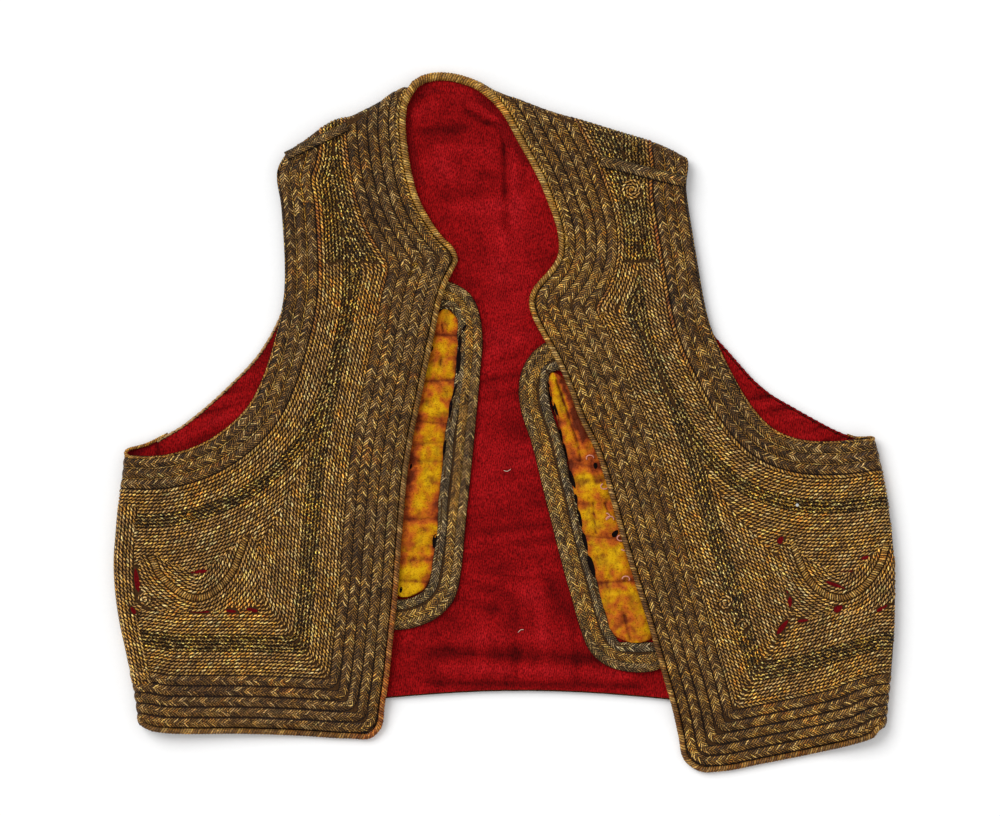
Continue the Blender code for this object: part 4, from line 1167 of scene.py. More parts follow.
# %% Lay the cords on the fronts
couching, chain_work, crescents = {}, {}, {}
for half in halves:
    made, chains, wraps = Ribbons(), Ribbons(), Ribbons()
    border_cords(half, made, chains)
    column_cords(half, made)
    crescent_cords(half, made, wraps)
    curl_cords(half, made)
    couching[half.word] = made.build(f"couched_cords_{half.word}", couched_thread)
    chain_work[half.word] = chains.build(f"knotted_cords_{half.word}", knotted_thread)
    crescents[half.word] = wraps.build(f"crescent_cord_{half.word}", wrapped_thread)


# %% [markdown]
# ## Gilt lines and red gaps
# A gilt cord closes each border where the braid meets the field. It is brightest beside the
# armhole, where it runs orange. The small gaps between the cords are patches of the red ground,
# painted darker for the shade between the cords, and set just over the ground cloth so that they
# aren't lost in its dark.

# %% Gilt lines round the field
NECK_END = 118.0        # how high up the neck's own gilt row begins
GILT_BY_HEIGHT = ((-250, -100, -30, 60, 150, 220), (0.10, 0.20, 0.30, 0.60, 0.95, 0.80))


def gilt_along(line, share):
    """How gilt a line still is: less low down, and worn in patches."""
    patches = [0.65 + noise.noise(Vector((x * 0.09, y * 0.09, 5.0))) for x, y in line]
    return np.clip(share * np.interp(line[:, 1], *GILT_BY_HEIGHT) * np.array(patches) * 1.3, 0, 1)


def red_along(line):
    """How red a gilt line is: in patches, and only high up beside the armhole."""
    patches = [0.60 + 1.6 * noise.noise(Vector((x * 0.045, y * 0.045, 9.0))) for x, y in line]
    return np.clip(np.array(patches), 0, 0.9) * ease((line[:, 1] - 20) / 60)


# Knots of gilt thread left on the field: out, up
right.knots = ((220.2, -67.2), (62.7, 109.9), (66, 104))
left.knots = ((69, 74.9), (42.4, 130), (44, 124), (44, 112), (50, 207), (91.4, 190.4))


def knot(out, up):
    """A short length of thread coiled on itself."""
    angle = np.linspace(0, 3 * math.pi, 16)
    return np.column_stack([out + (0.4 + angle * 0.16) * np.cos(angle),
                            up + (0.4 + angle * 0.2) * np.sin(angle)])


gilt_lines = {}
for half in halves:
    made = Ribbons()
    lay_on_cloth(made, half, parallel(half.neck_line, BORDER + EDGE_LINE / 2), EDGE_LINE, rise=0.9,
                 gold=lambda run: gilt_along(run, 0.8), silver=lambda run: 0.7 * red_along(run))
    line = parallel(half.arm_line, ARM_BORDER + ARM_LINE / 2)
    beside_edge = distance(line, half.neck_line) - BORDER - EDGE_LINE
    lay_on_cloth(made, half, line, ARM_LINE, beside_edge > -1.0, rise=1.2,
                 gold=lambda run: gilt_along(run, 1.3), silver=red_along)
    lay_on_cloth(made, half, parallel(half.arm_line, -0.4), 2.0, rise=0.8,
                 gold=lambda run: np.interp(run[:, 1], (50, 100), (0.75, 0.1)))
    for row, share in ((1, 0.5), (2, 0.95)):
        lay_on_cloth(made, half, parallel(half.arm_line, row * BRAID), 1.25,
                     gold=lambda run: gilt_along(run, share))
    line = parallel(half.neck_line, 1.3)
    lay_on_cloth(made, half, line, 2.6, line[:, 1] > NECK_END, gold=0.55, rise=1.2)
    for out, up in half.knots:
        made.lay(knot(out, up), half.lay, 1.1, gold=0.9, rise=1.8)
    gilt_lines[half.word] = made.build(f"gilt_lines_{half.word}", gilt_thread)

# %% Red ground in the gaps
PATCH_LIFT = 0.25
red_gaps = {}
for half in halves:
    points = half.lay(np.vstack(half.gaps), PATCH_LIFT)
    faces = np.arange(len(points)).reshape(len(half.gaps), -1).tolist()
    # the gaps use the red wool painted darker for the shade between the cords
    red_gaps[half.word] = piece_from(f"red_gaps_{half.word}", points, faces, deep_red, smooth_faces=False)

# %% [markdown]
# ## Braid over the shoulder seams
# Each shoulder seam is hidden by one flat braid, sewn down over it from the field to the armhole. It
# stands proud of the rows that it crosses, and a thin cord closes one of its sides.

# %% Braid over the shoulder seams
LEFT_STRIP = ((67.5, 182.5), (126, 168))
RIGHT_STRIP = ((-110, 206.5), (-153, 186))
STRIP_WIDTH = {"right": 6.4, "left": 8.2}
STRIP_TOP = SHOULDER_HEIGHT + SEAM_GAP + 0.63 + 0.9
STRIP_BACK = ((-0.5, -0.8), (-0.46, 0.1), (-0.3, 0.6), (0.0, 0.5), (0.3, 0.6), (0.46, 0.1), (0.5, -0.8))

seam_braids = {}
for half, ends in ((right, RIGHT_STRIP), (left, LEFT_STRIP)):
    made = Ribbons()
    line = spaced(np.array(ends), 3.0)
    width = STRIP_WIDTH[half.word]

    def strip_place(points, lift):
        """On top of the seam, and a little way down over the shoulder's fold."""
        over = (points[:, 1] - level(half.shoulder, half.sign * points[:, 0])) / FOLD_REACH + 1
        drop = (1 - np.sqrt(1 - np.clip(over, 0, 0.95) ** 2)) * SHOULDER_HEIGHT / 2
        return np.column_stack([points, STRIP_TOP + lift - drop])

    made.lay(line, strip_place, width, STRIP_BACK, gold=0.05, silver=0.15, headed=True)
    inner = -0.5 if half.sign * (line[-1] - line[0])[0] < 0 else 0.5
    made.lay(line + normals_of(line) * inner * half.sign * (width - 1.2), strip_place, 1.3,
             silver=0.4, rise=0.9)
    seam_braids[half.word] = made.build(f"seam_braid_{half.word}", flat_braid)
    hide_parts("shoulder_braid_" + half.word)

# %% [markdown]
# ## Plackets
# A placket is a narrow stiff panel under the front edge, made of three rows of braid round a long
# opening. The outer rows are worn gilt and the inner one has kept more silver.

# %% Rows of braid on the plackets
PLACKET_BRAID = 6.2
PLACKET_FINISH = ((0.30, 0.20), (0.60, 0.0), (0.10, 0.50))
BESIDE_SILK = 2.9       # the inner row's middle keeps this far from the silk
BRAID_SHIFT = 3.4       # and a row is moved at most this far, or half as far towards the silk
placket_rows = {}


def lay_on(node):
    def place(points, lift):
        return np.column_stack([points, height_on(node, points[:, 0], points[:, 1]) + lift])
    return place


for half in halves:
    made = Ribbons()
    ring = half.placket * (half.sign, 1)
    ring = ring[::-1] if half.sign < 0 else ring
    front_node = "front_" + half.word
    opening = np.vstack([half.silk[::-1, [1, 0]], half.silk[:, [2, 0]]]) * (half.sign, 1)
    for row, (gold, silver) in enumerate(PLACKET_FINISH):
        line = parallel(ring, (row + 0.5) * PLACKET_BRAID, closed=True)
        covered = height_on(front_node, line[:, 0], line[:, 1], miss=-1.0) > 0
        near = np.convolve(np.concatenate([covered[-2:], covered, covered[:2]]) * 1.0,
                           np.ones(5), "valid") >= 5
        gap = np.where(inside(line, opening), -1, 1) * distance(line, opening, True)
        nearest = -BRAID_SHIFT / 2 if row == 2 else 0.0
        line = line - normals_of(line, True) * np.clip(BESIDE_SILK - gap, nearest, BRAID_SHIFT)[:, None]
        shown = ~near & (distance(line, opening, True) > 1.2) & ~inside(line, opening)
        first = int(np.argmin(shown))
        line, shown = np.roll(line, -first, axis=0), np.roll(shown, -first)
        for run in runs(line, shown):
            made.lay(run, lay_on("placket_" + half.word), PLACKET_BRAID + 0.5, BRAID_BACK,
                     rise=0.5 + 0.1 * row, headed=True, deep=0.55, gold=gold, silver=silver)
    placket_rows[half.word] = made.build(f"placket_braid_{half.word}", flat_braid)
    trees[placket_rows[half.word].name] = ray_tree(placket_rows[half.word].data)

# %% [markdown]
# ## Gathered silk
# The strip of silk in each opening is drawn up by cross stitches into a row of small puffs. Its
# edges are held down, so each puff is highest in the middle and sinks at the seams. The mesh is a
# fine grid with that shape, plus soft wrinkles that run out from each seam.

# %% Seams, dye and painted shade, and slit shadows of the silk, in millimetres
LAYER_BASE = LINING_TOP + SEAM_GAP
SILK_CROWN = 2.5        # height of a puff
SILK_MARGIN = 1.3       # the strip runs this far under the placket's braid
SEAM_REACH = 5.5        # how far from a cross seam the puff has risen again
# Cross seams: up, depth from 0 to 1, tilt
RIGHT_SEAMS = ((60.9, 1.0, 0.5), (45.5, 0.7, 1.5), (28.7, 1.0, -1.0), (15, 0.6, 0.5), (0, 0.9, 1.5),
               (-15.4, 0.8, -1.5), (-27.3, 0.9, 0.5), (-53.2, 0.4, 1.0), (-67.9, 0.9, -0.5),
               (-90.3, 0.4, 1.0), (-96.6, 0.8, 0.0), (-111.3, 0.9, 1.0))
LEFT_SEAMS = ((1, 0.8, 1.5), (-30.7, 0.9, -2.0), (-57.6, 0.35, 1.0), (-81.4, 0.9, -1.5),
              (-111.5, 0.9, 1.5), (-133.7, 0.35, 0.5))
# How far the silk is turned from yellow to brown, by its dye and by painted shade towards the far edge under
# the front: up, at the near edge, at the far edge
RIGHT_DYE_AND_SHADE = ((-117, 0.20, 0.12), (-81, 0.18, 0.50), (-60, 0.55, 0.80), (-35, 0.10, 0.75),
             (10, 0.16, 0.50), (60, 0.36, 0.44))
LEFT_DYE_AND_SHADE = ((-149, 0.40, 0.35), (-110, 0.38, 0.42), (-70, 0.30, 0.36), (-40, 0.25, 0.45),
            (-10, 0.45, 1.15), (33, 0.35, 1.35))
# How soiled it is: up, share
RIGHT_SOIL = ((-117, 60), (0.04, 0.0))
LEFT_SOIL = ((-150, -100, 0, 34), (0.16, 0.08, 0.08, 0.12))
# Slits between the silk and the braid, where the stitches have gone, each filled with painted shadow: out and
# up of both ends, width
RIGHT_SLIT_SHADOWS = ((31.0, 61, 31.6, 51, 2.6), (31.6, 51, 32.8, 33, 3.0), (33.6, 27, 36.6, 16, 1.5),
               (37.2, 15, 38.6, 3, 2.3), (41.4, -13, 42.8, -24, 2.2), (48.5, -79, 49.5, -88, 3.0),
               (27.0, 68, 31.0, 61, 2.0), (50.7, 52.5, 51.5, 49.5, 2.0), (56.4, 30.8, 57.2, 28, 1.8),
               (65.2, -30, 65.9, -32.5, 1.6), (70.2, -58.8, 70.8, -61, 1.6), (72.3, -116, 72.7, -119, 2.0))
LEFT_SLIT_SHADOWS = ((29.8, 28, 33.0, 13, 3.0), (33.0, 15, 37.8, 1.4, 3.0), (38.6, -4, 40.6, -13.6, 1.5),
              (41.4, -15, 44.2, -27, 1.6), (44.7, -33.6, 49.4, -46, 3.3), (49.6, -51, 50.6, -57, 2.2),
              (51.2, -61.4, 54.2, -73.6, 2.4), (54.8, -77.6, 58.0, -90, 2.8),
              (58.8, -94, 63.2, -108.4, 3.8), (63.6, -29.0, 63.8, -32.4, 2.8),
              (76.0, -80.0, 79.0, -76.2, 3.6))
# Lengthwise creases, sunk and painted with shade: out and up of both ends, width
RIGHT_CREASES = ((44, 45, 47, 30, 1.3), (44, 68, 43, 63, 1.8))
LEFT_CREASES = ((36.6, 29, 44.7, 5, 3), (44.7, 5, 51, -13.6, 3.2), (51, -13.6, 53.5, -27, 3.2),
                (62, -57, 64, -78, 3), (70, -57, 74, -66, 2.5), (84, -136, 88, -152, 3.5))


# %% Silk strips
def near_lines(points, table):
    """For each point, 1 on a line of the table fading to 0 at half its width away."""
    share = np.zeros(len(points))
    for x0, y0, x1, y1, width in table:
        away = distance(points, np.array([(x0, y0), (x1, y1)], float))
        share = np.maximum(share, 1 - away / (width / 2))
    return np.clip(share, 0, 1)


def rounded_ends(ups, radius):
    """Share of the strip's width at each height, for ends that are half round."""
    to_end = np.minimum(ups - ups.min(), ups.max() - ups)
    inward = np.clip(1 - to_end / radius, 0, 1)
    return np.sqrt(1 - 0.9 * inward ** 2)


def silk_strip(half, seams, dye, creases, soil):
    table = half.silk[::-1]
    long, wide = 330, 33        # points along and across
    up = np.repeat(np.linspace(table[0, 0], table[-1, 0], long), wide)
    c = np.tile(np.linspace(-1, 1, wide), long)
    near = np.interp(up, table[:, 0], table[:, 1]) - SILK_MARGIN
    far = np.interp(up, table[:, 0], table[:, 2])
    sink, wide_sink = np.zeros(len(up)), np.zeros(len(up))
    for place, depth, tilt in seams:
        away = np.abs(up - place - tilt * c) / SEAM_REACH
        sink = np.maximum(sink, depth * np.clip(1 - away, 0, 1) ** 1.7)
        wide_sink = np.maximum(wide_sink, depth * np.clip(1 - away / 1.5, 0, 1))
    out = (near + far) / 2 + ((far - near) / 2 - 0.9 * sink) * c * rounded_ends(up, 8.0)
    flat = np.column_stack([out, up])
    crease = near_lines(flat, creases)
    spots = [Vector((x * 0.16, y * 0.11, half.sign * 7.0)) for x, y in flat]
    wrinkle = np.array([noise.noise(spot) * 0.8 + noise.noise(spot * 3.1) * 0.5 for spot in spots])
    drift = np.array([noise.noise(spot * 0.5) for spot in spots])
    crown = np.clip(1 - c * c, 0, 1) ** 0.45
    z = LAYER_BASE + 0.5 + crown * (SILK_CROWN * (1 - 0.85 * sink - 0.8 * crease) + 1.2 * wrinkle)
    z = np.maximum(z, LAYER_BASE + 0.35)
    # the dye table also holds painted shade: browner towards the far edge, which lies under the front
    ups, near_dye_and_shade, far_dye_and_shade = np.array(dye).T
    share = ease((c + 0.25) * 1.6)
    brown_dye_and_shade = np.interp(up, ups, near_dye_and_shade) * (1 - share) + np.interp(up, ups, far_dye_and_shade) * share
    # browner, as painted shade, towards the strip's edges and near its seams, and in random patches
    brown_dye_and_shade += 0.45 * np.abs(c) ** 4 + 0.15 * wrinkle + 0.3 * drift + 0.30 * wide_sink - 0.08
    # darker, as painted shade, at the seams, in the creases, at the edges and in the wrinkles' hollows; real
    # soil from the soil table
    stain_and_shade = np.maximum(0.85 * sink ** 3, 0.9 * crease ** 2) + 0.45 * np.abs(c) ** 8
    stain_and_shade += 0.9 * np.clip(-wrinkle, 0, 1) + np.interp(up, *soil)
    nothing = np.zeros(len(up))
    paints = np.column_stack([np.clip(brown_dye_and_shade, 0, 1), np.clip(stain_and_shade, 0, 1), nothing, nothing + 1])
    points = np.column_stack([half.sign * out, up, z])
    faces = [(i * wide + j, i * wide + j + 1, (i + 1) * wide + j + 1, (i + 1) * wide + j)
             for i in range(long - 1) for j in range(wide - 1)]
    if half.sign < 0:
        faces = [face[::-1] for face in faces]
    item = piece_from(f"silk_strip_{half.word}", points, faces, gathered_silk, paints)
    trees[item.name] = ray_tree(item.data)
    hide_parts("silk_" + half.word)
    return item


silks = {"right": silk_strip(right, RIGHT_SEAMS, RIGHT_DYE_AND_SHADE, RIGHT_CREASES, RIGHT_SOIL),
         "left": silk_strip(left, LEFT_SEAMS, LEFT_DYE_AND_SHADE, LEFT_CREASES, LEFT_SOIL)}

# %% Painted shadow in the slits beside the silk
# near-black, both for the real black stitches and for the painted shadow in the slits beside the silk
black_thread_and_shade = plain_material("black_thread_and_shade", (0.008, 0.005, 0.005), 0.9, shine=0.0)
slit_shadows = {}
for half, table in ((right, RIGHT_SLIT_SHADOWS), (left, LEFT_SLIT_SHADOWS)):
    points, faces = [], []
    for x0, y0, x1, y1, width in table:
        outline = leaf((x0 + x1) / 2, (y0 + y1) / 2, math.hypot(x1 - x0, y1 - y0) + 1.5, width,
                       math.degrees(math.atan2(y1 - y0, x1 - x0)))
        outline = np.vstack([outline.mean(axis=0), outline]) * (half.sign, 1)
        tops = [height_on(node, outline[:, 0], outline[:, 1], miss=-1.0)
                for node in ("silk_strip_" + half.word, "placket_braid_" + half.word)]
        z = np.maximum(np.max(tops, axis=0), LAYER_BASE + 0.4) + 0.15
        rim = list(range(len(points) + 1, len(points) + len(outline)))
        faces += [(len(points), *pair[::-half.sign]) for pair in zip(rim, rim[1:] + rim[:1])]
        points.extend(np.column_stack([outline, z]))
    slit_shadows[half.word] = piece_from(f"silk_slit_shadows_{half.word}", points, faces, black_thread_and_shade, smooth_faces=False)
print("silk strips:", [item.name for item in silks.values()])

# %% [markdown]
# ## The lining
# The red wool lining lies loose over the back and is caught down only at its edges, so it ripples.
# Its mesh is the solid's, cut finer, and its top face is pushed up and down along a few listed creases
# and by a broad, low noise.

# %% Red lining
CREASE_LOW, CREASE_HIGH = -0.8, 1.1         # the cloth moves down and up by no more than this
HELD, FREE = 2.0, 11.0                      # held down this near to a seam, free to move from there on
# Creases: x, y of two ends, height, half width
CREASES = (
    (-66, 215, -48, 223, 0.7, 7), (-60, 203, -27, 206, -0.7, 6), (-27, 219, -13, 210, -0.9, 4),
    (-13, 210, -2, 207, -1.0, 3.4), (-23, 221, -5, 212, 0.9, 5), (-1, 208, 1, 134, -1.3, 3.4),
    (7, 205, 8, 140, 0.7, 6), (-45, 182, -42, 176, 1.0, 18), (-14, 174, -8, 171, -0.9, 9),
    (-40, 160, 14, 164, -0.5, 7), (-36, 150, 10, 152, 0.9, 8), (-46, 192, -10, 190, 0.6, 6),
    (18, 180, 30, 158, 0.7, 8), (24, 184, 36, 160, -0.9, 5), (0, 140, -4, 100, 0.6, 8),
    (-44, -152, 60, -150, 0.6, 8), (-52, -162, 76, -166, -1.0, 7), (-50, -173, 84, -176, 0.7, 6),
    (-48, -183, 92, -185, -0.9, 4), (-10, 60, -14, -60, 0.7, 16), (8, 40, 10, -60, -0.7, 12),
    (4, -20, 16, -120, 0.7, 12), (-12, -60, -8, -130, -0.8, 10), (20, -60, 40, -130, -0.7, 10),
    (-14, -110, -16, -170, 0.6, 8), (6, -100, 8, -176, -0.7, 6), (24, -120, 30, -180, 0.6, 7),
    (44, -120, 52, -180, -0.6, 6), (-40, -100, -40, -160, -0.7, 9), (36, 20, 20, -40, 0.5, 10),
    (-24, 100, -20, 20, -0.7, 9), (16, 110, 14, 60, 0.5, 10),
    (-176, 20, -200, 0, 0.6, 8), (-166, 50, -186, 20, -0.7, 8), (150, 40, 170, 20, 0.6, 12),
    (199, 26, 199, -12, -1.5, 3.2), (222, 5, 222, -20, -1.5, 2.8), (237, -5, 238, -19, -1.2, 2.6),
    (184, 34, 186, -8, -1.0, 3.0), (192, 28, 193, -10, 0.6, 4.0), (210, 14, 211, -16, 0.7, 6.0),
    (-212, 14, -212, -18, -1.6, 3.0), (-195, 26, -195, -6, -0.9, 4.0), (-243, -13, -243, -25, -1.2, 2.6),
    (-203, 16, -202, -12, 0.8, 4.5), (-227, 0, -226, -20, 0.7, 5.5), (-186, 32, -184, 8, 0.7, 5.0),
    (-3, 176, 2, 60, 0.5, 30),
)


def lining_cloth():
    item = cloth_from("lining", "lining_cloth", red_twill)
    form = bmesh.new()
    form.from_mesh(item.data)
    for _ in range(4):
        long_edges = [edge for edge in form.edges if edge.calc_length() > 3.0 * MM]
        bmesh.ops.subdivide_edges(form, edges=long_edges, cuts=1, use_grid_fill=True)
    bmesh.ops.triangulate(form, faces=form.faces)
    form.verts.ensure_lookup_table()
    flat = np.array([tuple(v.co) for v in form.verts]) / MM + MIDDLE
    rise = np.zeros(len(flat))
    for x0, y0, x1, y1, height, width in CREASES:
        away = distance(flat[:, :2], np.array([(x0, y0), (x1, y1)], float))
        rise += height * ease(1 - away / width)
    for i, point in enumerate(flat):
        rise[i] += 0.45 * noise.noise(Vector((point[0] * 0.035, point[1] * 0.05, 3.0)))
        rise[i] += 0.2 * noise.noise(Vector((point[0] * 0.10, point[1] * 0.06, 8.0)))
    clear = np.full(len(flat), 1e9)
    for half in halves:
        for line in (half.cord_line, half.placket, half.armhole):
            clear = np.minimum(clear, distance(flat[:, :2] * (half.sign, 1), line))
    open_ground = ease((clear - HELD) / (FREE - HELD))
    for name in ("front_left", "front_right", "placket_left", "placket_right"):
        covered = height_on(name, flat[:, 0], flat[:, 1], miss=-1.0) > 0
        open_ground[covered] = 0.0
    on_top = flat[:, 2] > LINING_TOP - 0.3
    for vert, lift, free, top in zip(form.verts, rise, open_ground, on_top):
        if top:
            vert.co.z += min(max(lift, CREASE_LOW), CREASE_HIGH) * free * MM
    form.to_mesh(item.data)
    form.free()
    # painted shade in the creases and painted light, pinker, on the ridges, from how far the cloth is pushed
    # up
    height = np.clip(0.5 + 0.42 * rise, 0, 1)
    shaded = np.column_stack([height, height, height, np.ones(len(flat))])
    paint_mesh(item.data, shaded)
    item.data.shade_smooth()
    item.data.set_sharp_from_angle(angle=math.radians(60))
    print("lining_cloth:", len(item.data.polygons), "faces")
    return item


lining = lining_cloth()

# %% [markdown]
# ## Cords along the edges
# A thicker twisted cord finishes the neck, both front edges and both hems. It is two plies of gilt
# thread laid together, so its outline is slightly scalloped. A tube is lofted along the cutting
# line, and its radius swells where a ply comes round.

# %% Twisted edge cords
CORD_SIDES = 10
TWIST_STEP = 1.0
CORD_LAY = 4.6      # length of one full twist
NECK_RADIUS = 3.0   # the cord is fuller round the back of the neck


def side_and_top(line):
    """Unit vectors to the side of a line in space and over it."""
    along = np.gradient(line, axis=0)
    along /= np.linalg.norm(along, axis=1)[:, None]
    side = np.cross(along, (0.0, 0.0, 1.0))
    side /= np.maximum(np.linalg.norm(side, axis=1), 1e-6)[:, None]
    return side, np.cross(side, along)


def twisted_cord(name, line, gilt, reds, node=None):
    """A closed tube with two plies along x, y, z and radius; its gilt and red gilt go by length."""
    line = spaced(np.array(line), TWIST_STEP)
    line, radius = line[:, :3], line[:, 3]
    side, top = side_and_top(line)
    length = np.arange(len(line)) * TWIST_STEP
    columns, made = [], Ribbons()
    for angle in np.linspace(-math.pi, math.pi, CORD_SIDES + 1):
        ply = angle - 2 * math.pi * length / CORD_LAY
        reach = radius * (1.0 + 0.10 * np.cos(2 * ply))
        columns.append(line + (np.sin(angle) * side + np.cos(angle) * top) * reach[:, None])
    made.add(columns, np.linspace(0, 1, CORD_SIDES + 1), gold=np.interp(length, *gilt),
             silver=np.interp(length, *reds))
    piece = made.build(name, edge_cord_finish)
    if node:
        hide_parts(node)
    return piece


def cord_course(half, line):
    """x, y, z and radius of a cord beside a front, a radius over the front's inner face."""
    inner = half.lay(line + normals_of(line) * (CORD_RADIUS + SEAM_GAP + 0.2), -WALL)
    if len(line) > 20:
        inner[:, 2] = softened(inner, 12)[:, 2]
    return np.column_stack([half.sign * line[:, 0], line[:, 1], inner[:, 2] + CORD_RADIUS + SEAM_GAP,
                            np.full(len(line), CORD_RADIUS)])


def neck_part(half):
    line = half.cord_line[:half.corner + 1]
    placed = cord_course(half, line)
    above = np.arange(len(line)) <= half.seam
    placed[above, 2] = SHOULDER_HEIGHT - WALL + CORD_RADIUS + SEAM_GAP
    placed[:, 2] = softened(placed, 4)[:, 2]
    placed[:, 3] = np.interp(line[:, 1], (120, 150, 215, 232), (CORD_RADIUS, 2.4, 2.5, 2.9))
    return placed


arc = np.column_stack([NECK_ARC, np.full(len(NECK_ARC), NECK_RADIUS)])
arc[:, 2] = np.maximum(arc[:, 2], NECK_RADIUS + 0.3)
neck_cord = twisted_cord(
    "neck_cord_twist", np.vstack([neck_part(right)[::-1], arc, neck_part(left)]),
    ((0, 500), (1.0, 1.0)), ((0, 500), (0.0, 0.0)), "neck_cord")
# Gilt and red gilt along each edge cord: places in millimetres, shares
EDGE_GILT = {"right": ((0, 40, 90, 420), (0.9, 0.5, 0.1, 0.15)),
             "left": ((0, 40, 90, 520), (0.9, 0.4, 0.05, 0.2))}
EDGE_REDS = {"right": ((0, 190, 240, 320, 345, 360, 420), (0.0, 0.10, 0.6, 1.0, 1.0, 0.2, 0.1)),
             "left": ((0, 120, 330, 380, 520), (0.0, 0.1, 0.2, 0.2, 0.05))}
# Steps from the cord's last straight point round the corner of the hem: x, y, z, radius
HEM_TURN = ((1.8, 0.9, -0.6, -0.1), (3.4, 2.4, -1.4, -0.3), (4.4, 4.4, -2.2, -0.6), (4.8, 6.4, -3.0, -1.0))
edge_cords = {}
for half in halves:
    line = half.cord_line[half.corner:]
    line = line[line[:, 0] < half.fold_at(line[:, 1]) - 3.5]
    placed = cord_course(half, line)
    closer = 1 - ease(np.arange(len(line))[::-1] / 6)
    placed[:, :2] += normals_of(line) * (half.sign, 1) * closer[:, None]
    end = placed[-1] + np.array(HEM_TURN) * (half.sign, 1, 1, 1)
    placed = np.vstack([placed, end])
    edge_cords[half.word] = twisted_cord(
        f"edge_cord_twist_{half.word}", placed,
        EDGE_GILT[half.word], EDGE_REDS[half.word], f"edge_cord_{half.word}")

# %% Facing behind the neck cord
FACED = 18      # points of each side of the neck that have the facing behind them
FACING = ((0.0, 1.0), (3.5, 0.25), (11.0, 0.0))     # how far in from the cord's middle, share of its height
course = np.vstack([neck_part(right)[FACED::-1, :3], arc[:, :3], neck_part(left)[:FACED, :3]])
course = spaced(course, 2.0)
cord_z = course[:, 2] - 1.0
course = course[:, :2]
towards = course.mean(axis=0) - (0, 40) - course
towards /= np.linalg.norm(towards, axis=1)[:, None]
facing_rows = [np.column_stack([course + towards * inward, LINING_TOP + (cord_z - LINING_TOP) * share])
               for inward, share in FACING]
# the facing is the lining's wool painted a little darker, for the shade under the neck cord
facing = piece_from("neck_facing", np.vstack(facing_rows), grid(len(facing_rows), len(course)).tolist(),
                    shaded_lining_red, smooth_faces=False)

# %% [markdown]
# ## Bindings and loose threads
# A narrow tan binding closes the edge of the back at the right armhole, and at the left one the
# lining is turned into a red hem. Black stitches hold both. A few pale threads lie loose on the
# lining, pink loops hold the silk, and one sequin is left in the field.

# %% Plain threads
tan_binding = plain_material("tan_binding", (0.46, 0.25, 0.085), 0.7)
pale_thread = plain_material("pale_thread", (0.72, 0.60, 0.45), 0.6)
pink_thread = plain_material("pink_thread", (0.75, 0.30, 0.22), 0.6)
sequin_metal = plain_material("sequin_metal", (0.85, 0.85, 0.80), 0.15, 0.9)


def tube(name, lines, radius, material, sides=6):
    """One mesh of thin threads, each along its own line of points in millimetres."""
    points, faces = [], []
    for line in lines:
        first = len(points)
        for place, side, top in zip(line, *side_and_top(line)):
            for angle in np.arange(sides) * 2 * math.pi / sides:
                points.append(place + (math.cos(angle) * side + math.sin(angle) * top) * radius)
        for start in range(first, len(points) - sides, sides):
            for k in range(sides):
                here, after = start + k, start + (k + 1) % sides
                faces.append((here, after, after + sides, here + sides))
        faces.append(list(range(first, first + sides))[::-1])
        faces.append(list(range(len(points) - sides, len(points))))
    return piece_from(name, points, faces, material)


# %% Binding of the back, with its stitches
# Where each armhole's edge turns the corner from front to back: out, up, z
CORNERS = {
    "right": ((256, -24.8, 11.5), (262.3, -24.3, 10.8), (265.2, -22.4, 9), (264.6, -20.2, 7),
              (262.0, -18.8, 5.4), (258.2, -17.9, 4.4), (251.7, -16.1, 3.9), (244.0, -12.6, 3.8),
              (236.0, -8.0, 3.6)),
    "left": ((252, -12.9, 11.5), (256.3, -12.6, 10.8), (258.4, -12.0, 9), (258.0, -11.2, 7),
             (256.0, -10.9, 5.4), (252.6, -11.2, 4.4), (247.0, -11.2, 3.9), (240.0, -8.8, 3.6))}
binding_lines, stitch_lines = {}, []
for half in halves:
    line = spaced(half.back_armhole, 1.5)
    line = line[line[:, 0] < CORNERS[half.word][-2][0]]
    line = line[line[:, 1] < level(half.shoulder, line[:, 0]) - FOLD_REACH - 6.0]
    inward = normals_of(line)
    scallop = 0.7 + 0.3 * np.sin(np.arange(len(line)) * 1.5 / 4.5 * 2 * math.pi)
    placed = line + inward * scallop[:, None]
    binding_lines[half.word] = np.column_stack([placed * (half.sign, 1), np.full(len(line), WALL + 0.6)])
    for i in range(3, len(line) - 3, 6):
        start, end = line[i] + inward[i] * 0.1, line[i + 1] + inward[i] * 2.6
        xs = np.linspace(start, end, 4) * (half.sign, 1)
        stitch_lines.append(np.column_stack([xs, WALL + 1.0 + np.array([0.7, 0.9, 0.8, 0.45])]))
binding = tube("armhole_binding", [binding_lines["right"]], 0.85, tan_binding, 8)
# the hem uses the same darker copy of the lining's wool as the facing
red_hem = tube("armhole_red_hem", [binding_lines["left"]], 0.85, shaded_lining_red, 8)
stitches = tube("binding_stitches", stitch_lines, 0.25, black_thread_and_shade)

# %% Cord along the edge of each armhole and round its corner
CORNER_RADIUS = 1.15    # the cord is thicker round the corner than along the armhole
RIM_RADIUS = 0.75
corners = []
for half in halves:
    first = CORNERS[half.word][0]
    front = half.arm_line[(half.arm_line[:, 0] < first[0] - 3) & (half.arm_line[:, 1] < 60)][::-1]
    front = np.column_stack([front, half.lay(front, -0.1)[:, 2]])
    turn = smooth(CORNERS[half.word], 1.0)[0]
    from_end = np.concatenate([np.full(len(front), len(turn)), np.arange(len(turn))[::-1]])
    from_front = np.concatenate([np.zeros(len(front)), np.arange(len(turn))])
    radius = RIM_RADIUS + (CORNER_RADIUS - RIM_RADIUS) * ease(np.minimum(from_end, from_front) / 8)
    line = np.column_stack([np.vstack([front, turn]) * (half.sign, 1, 1), radius])
    corners.append(twisted_cord(f"armhole_cord_{half.word}", line,
                                ((0, 500), (1.0, 1.0)), ((0, 500), (0.2, 0.2))))

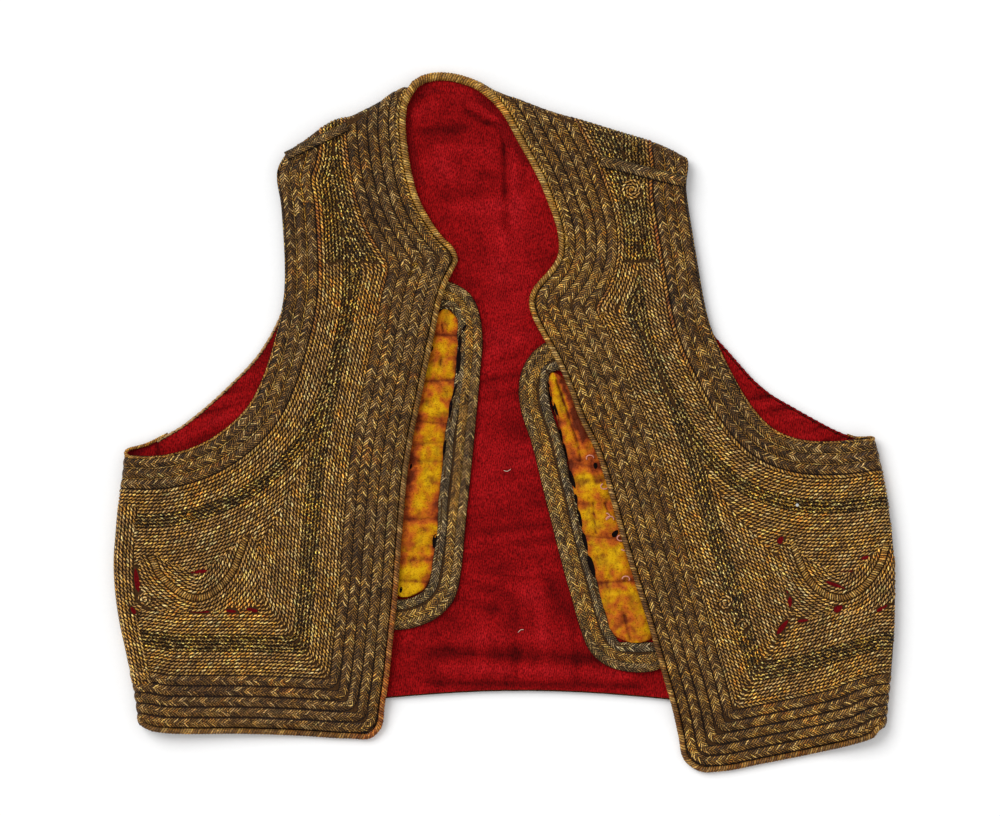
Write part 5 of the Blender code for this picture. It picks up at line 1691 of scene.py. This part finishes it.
# %% Lining that fills the corner of the right armhole
CORNER_FILL = ((262, -26.5), (265.4, -23.5), (265, -21), (262, -19.2), (258.2, -18.2), (251.7, -16.4),
               (244, -12.9), (242, -16), (252, -23))
# the corner fill uses the red wool painted darker for shade
corner_fill = piece_from("corner_fill", [(-out, up, WALL + 0.4) for out, up in CORNER_FILL],
                         [list(range(len(CORNER_FILL)))], deep_red, smooth_faces=False)

# %% Loose threads on the lining, and loops beside the silk
LOOSE = (((4.5, -33), (2, -34.5), (-0.5, -34)), ((13.5, -145.5), (11.5, -145.5), (9.5, -147.5)),
         ((52, 40), (54, 38.6), (55.5, 39)))
loose_lines = []
for rows in LOOSE:
    line = smooth(rows, 1.0)[0]
    loose_lines.append(np.column_stack([line, np.full(len(line), LINING_TOP + 0.9)]))
loose = tube("loose_threads", loose_lines, 0.2, pale_thread)
LOOPS = ((59.9, -25.2), (70.0, -45), (71, -65.8), (74, -68), (81.5, -81.2), (84, -88), (85, -109.9))
loop_lines = []
for number, (x, y) in enumerate(LOOPS):
    angle = np.linspace(0, math.pi * 1.2, 10) + number * 2.0
    loop_lines.append(np.column_stack([x + 2.6 * np.cos(angle), y + 2.0 * np.sin(angle),
                                       LAYER_BASE + SILK_CROWN + 0.9 + 0.4 * np.sin(angle)]))
loops = tube("silk_loops", loop_lines, 0.45, pink_thread)

# %% A sequin left on the field
SEQUIN = (204.8, -58.1, 1.1)        # out, up, radius
SIDES = 16
out, up, radius = SEQUIN
angle = np.arange(SIDES) * 2 * math.pi / SIDES
rim = left.lay(np.column_stack([out + radius * np.cos(angle), up + radius * np.sin(angle)]), 0.0)
rim[:, 2] = rim[:, 2].max() + 1.3 + 0.25 * np.cos(angle)
faces = [(i - 1, i - 1 + SIDES, i + SIDES, i) for i in range(1, SIDES)]
faces += [(SIDES - 1, 2 * SIDES - 1, SIDES, 0), list(range(SIDES)), list(range(2 * SIDES - 1, SIDES - 1, -1))]
sequin = piece_from("sequin", np.vstack([rim, rim - (0, 0, 0.3)]), faces, sequin_metal, smooth_faces=False)

# %% [markdown]
# ## What rides on what
# Nothing on a waistcoat is jointed, so every piece rides on the one body, and the thread on each panel
# goes with it.

extras = {"braided_cloth": [*border.values(), *placket_rows.values()],
          "gold_cord": [*couching.values(), *chain_work.values(), *crescents.values(), *gilt_lines.values(),
                        binding],
          "red_lining": [*red_gaps.values(), facing, red_hem, corner_fill]}
for slot, pieces in extras.items():
    for item in pieces:
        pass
small = [*corners, *slit_shadows.values(), stitches, loose, loops, sequin]
for item in [*ground.values(), *silks.values(), lining, neck_cord, *edge_cords.values(),
             *seam_braids.values(), *sum(extras.values(), []), *small]:
    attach(item, "root")

for half in halves:
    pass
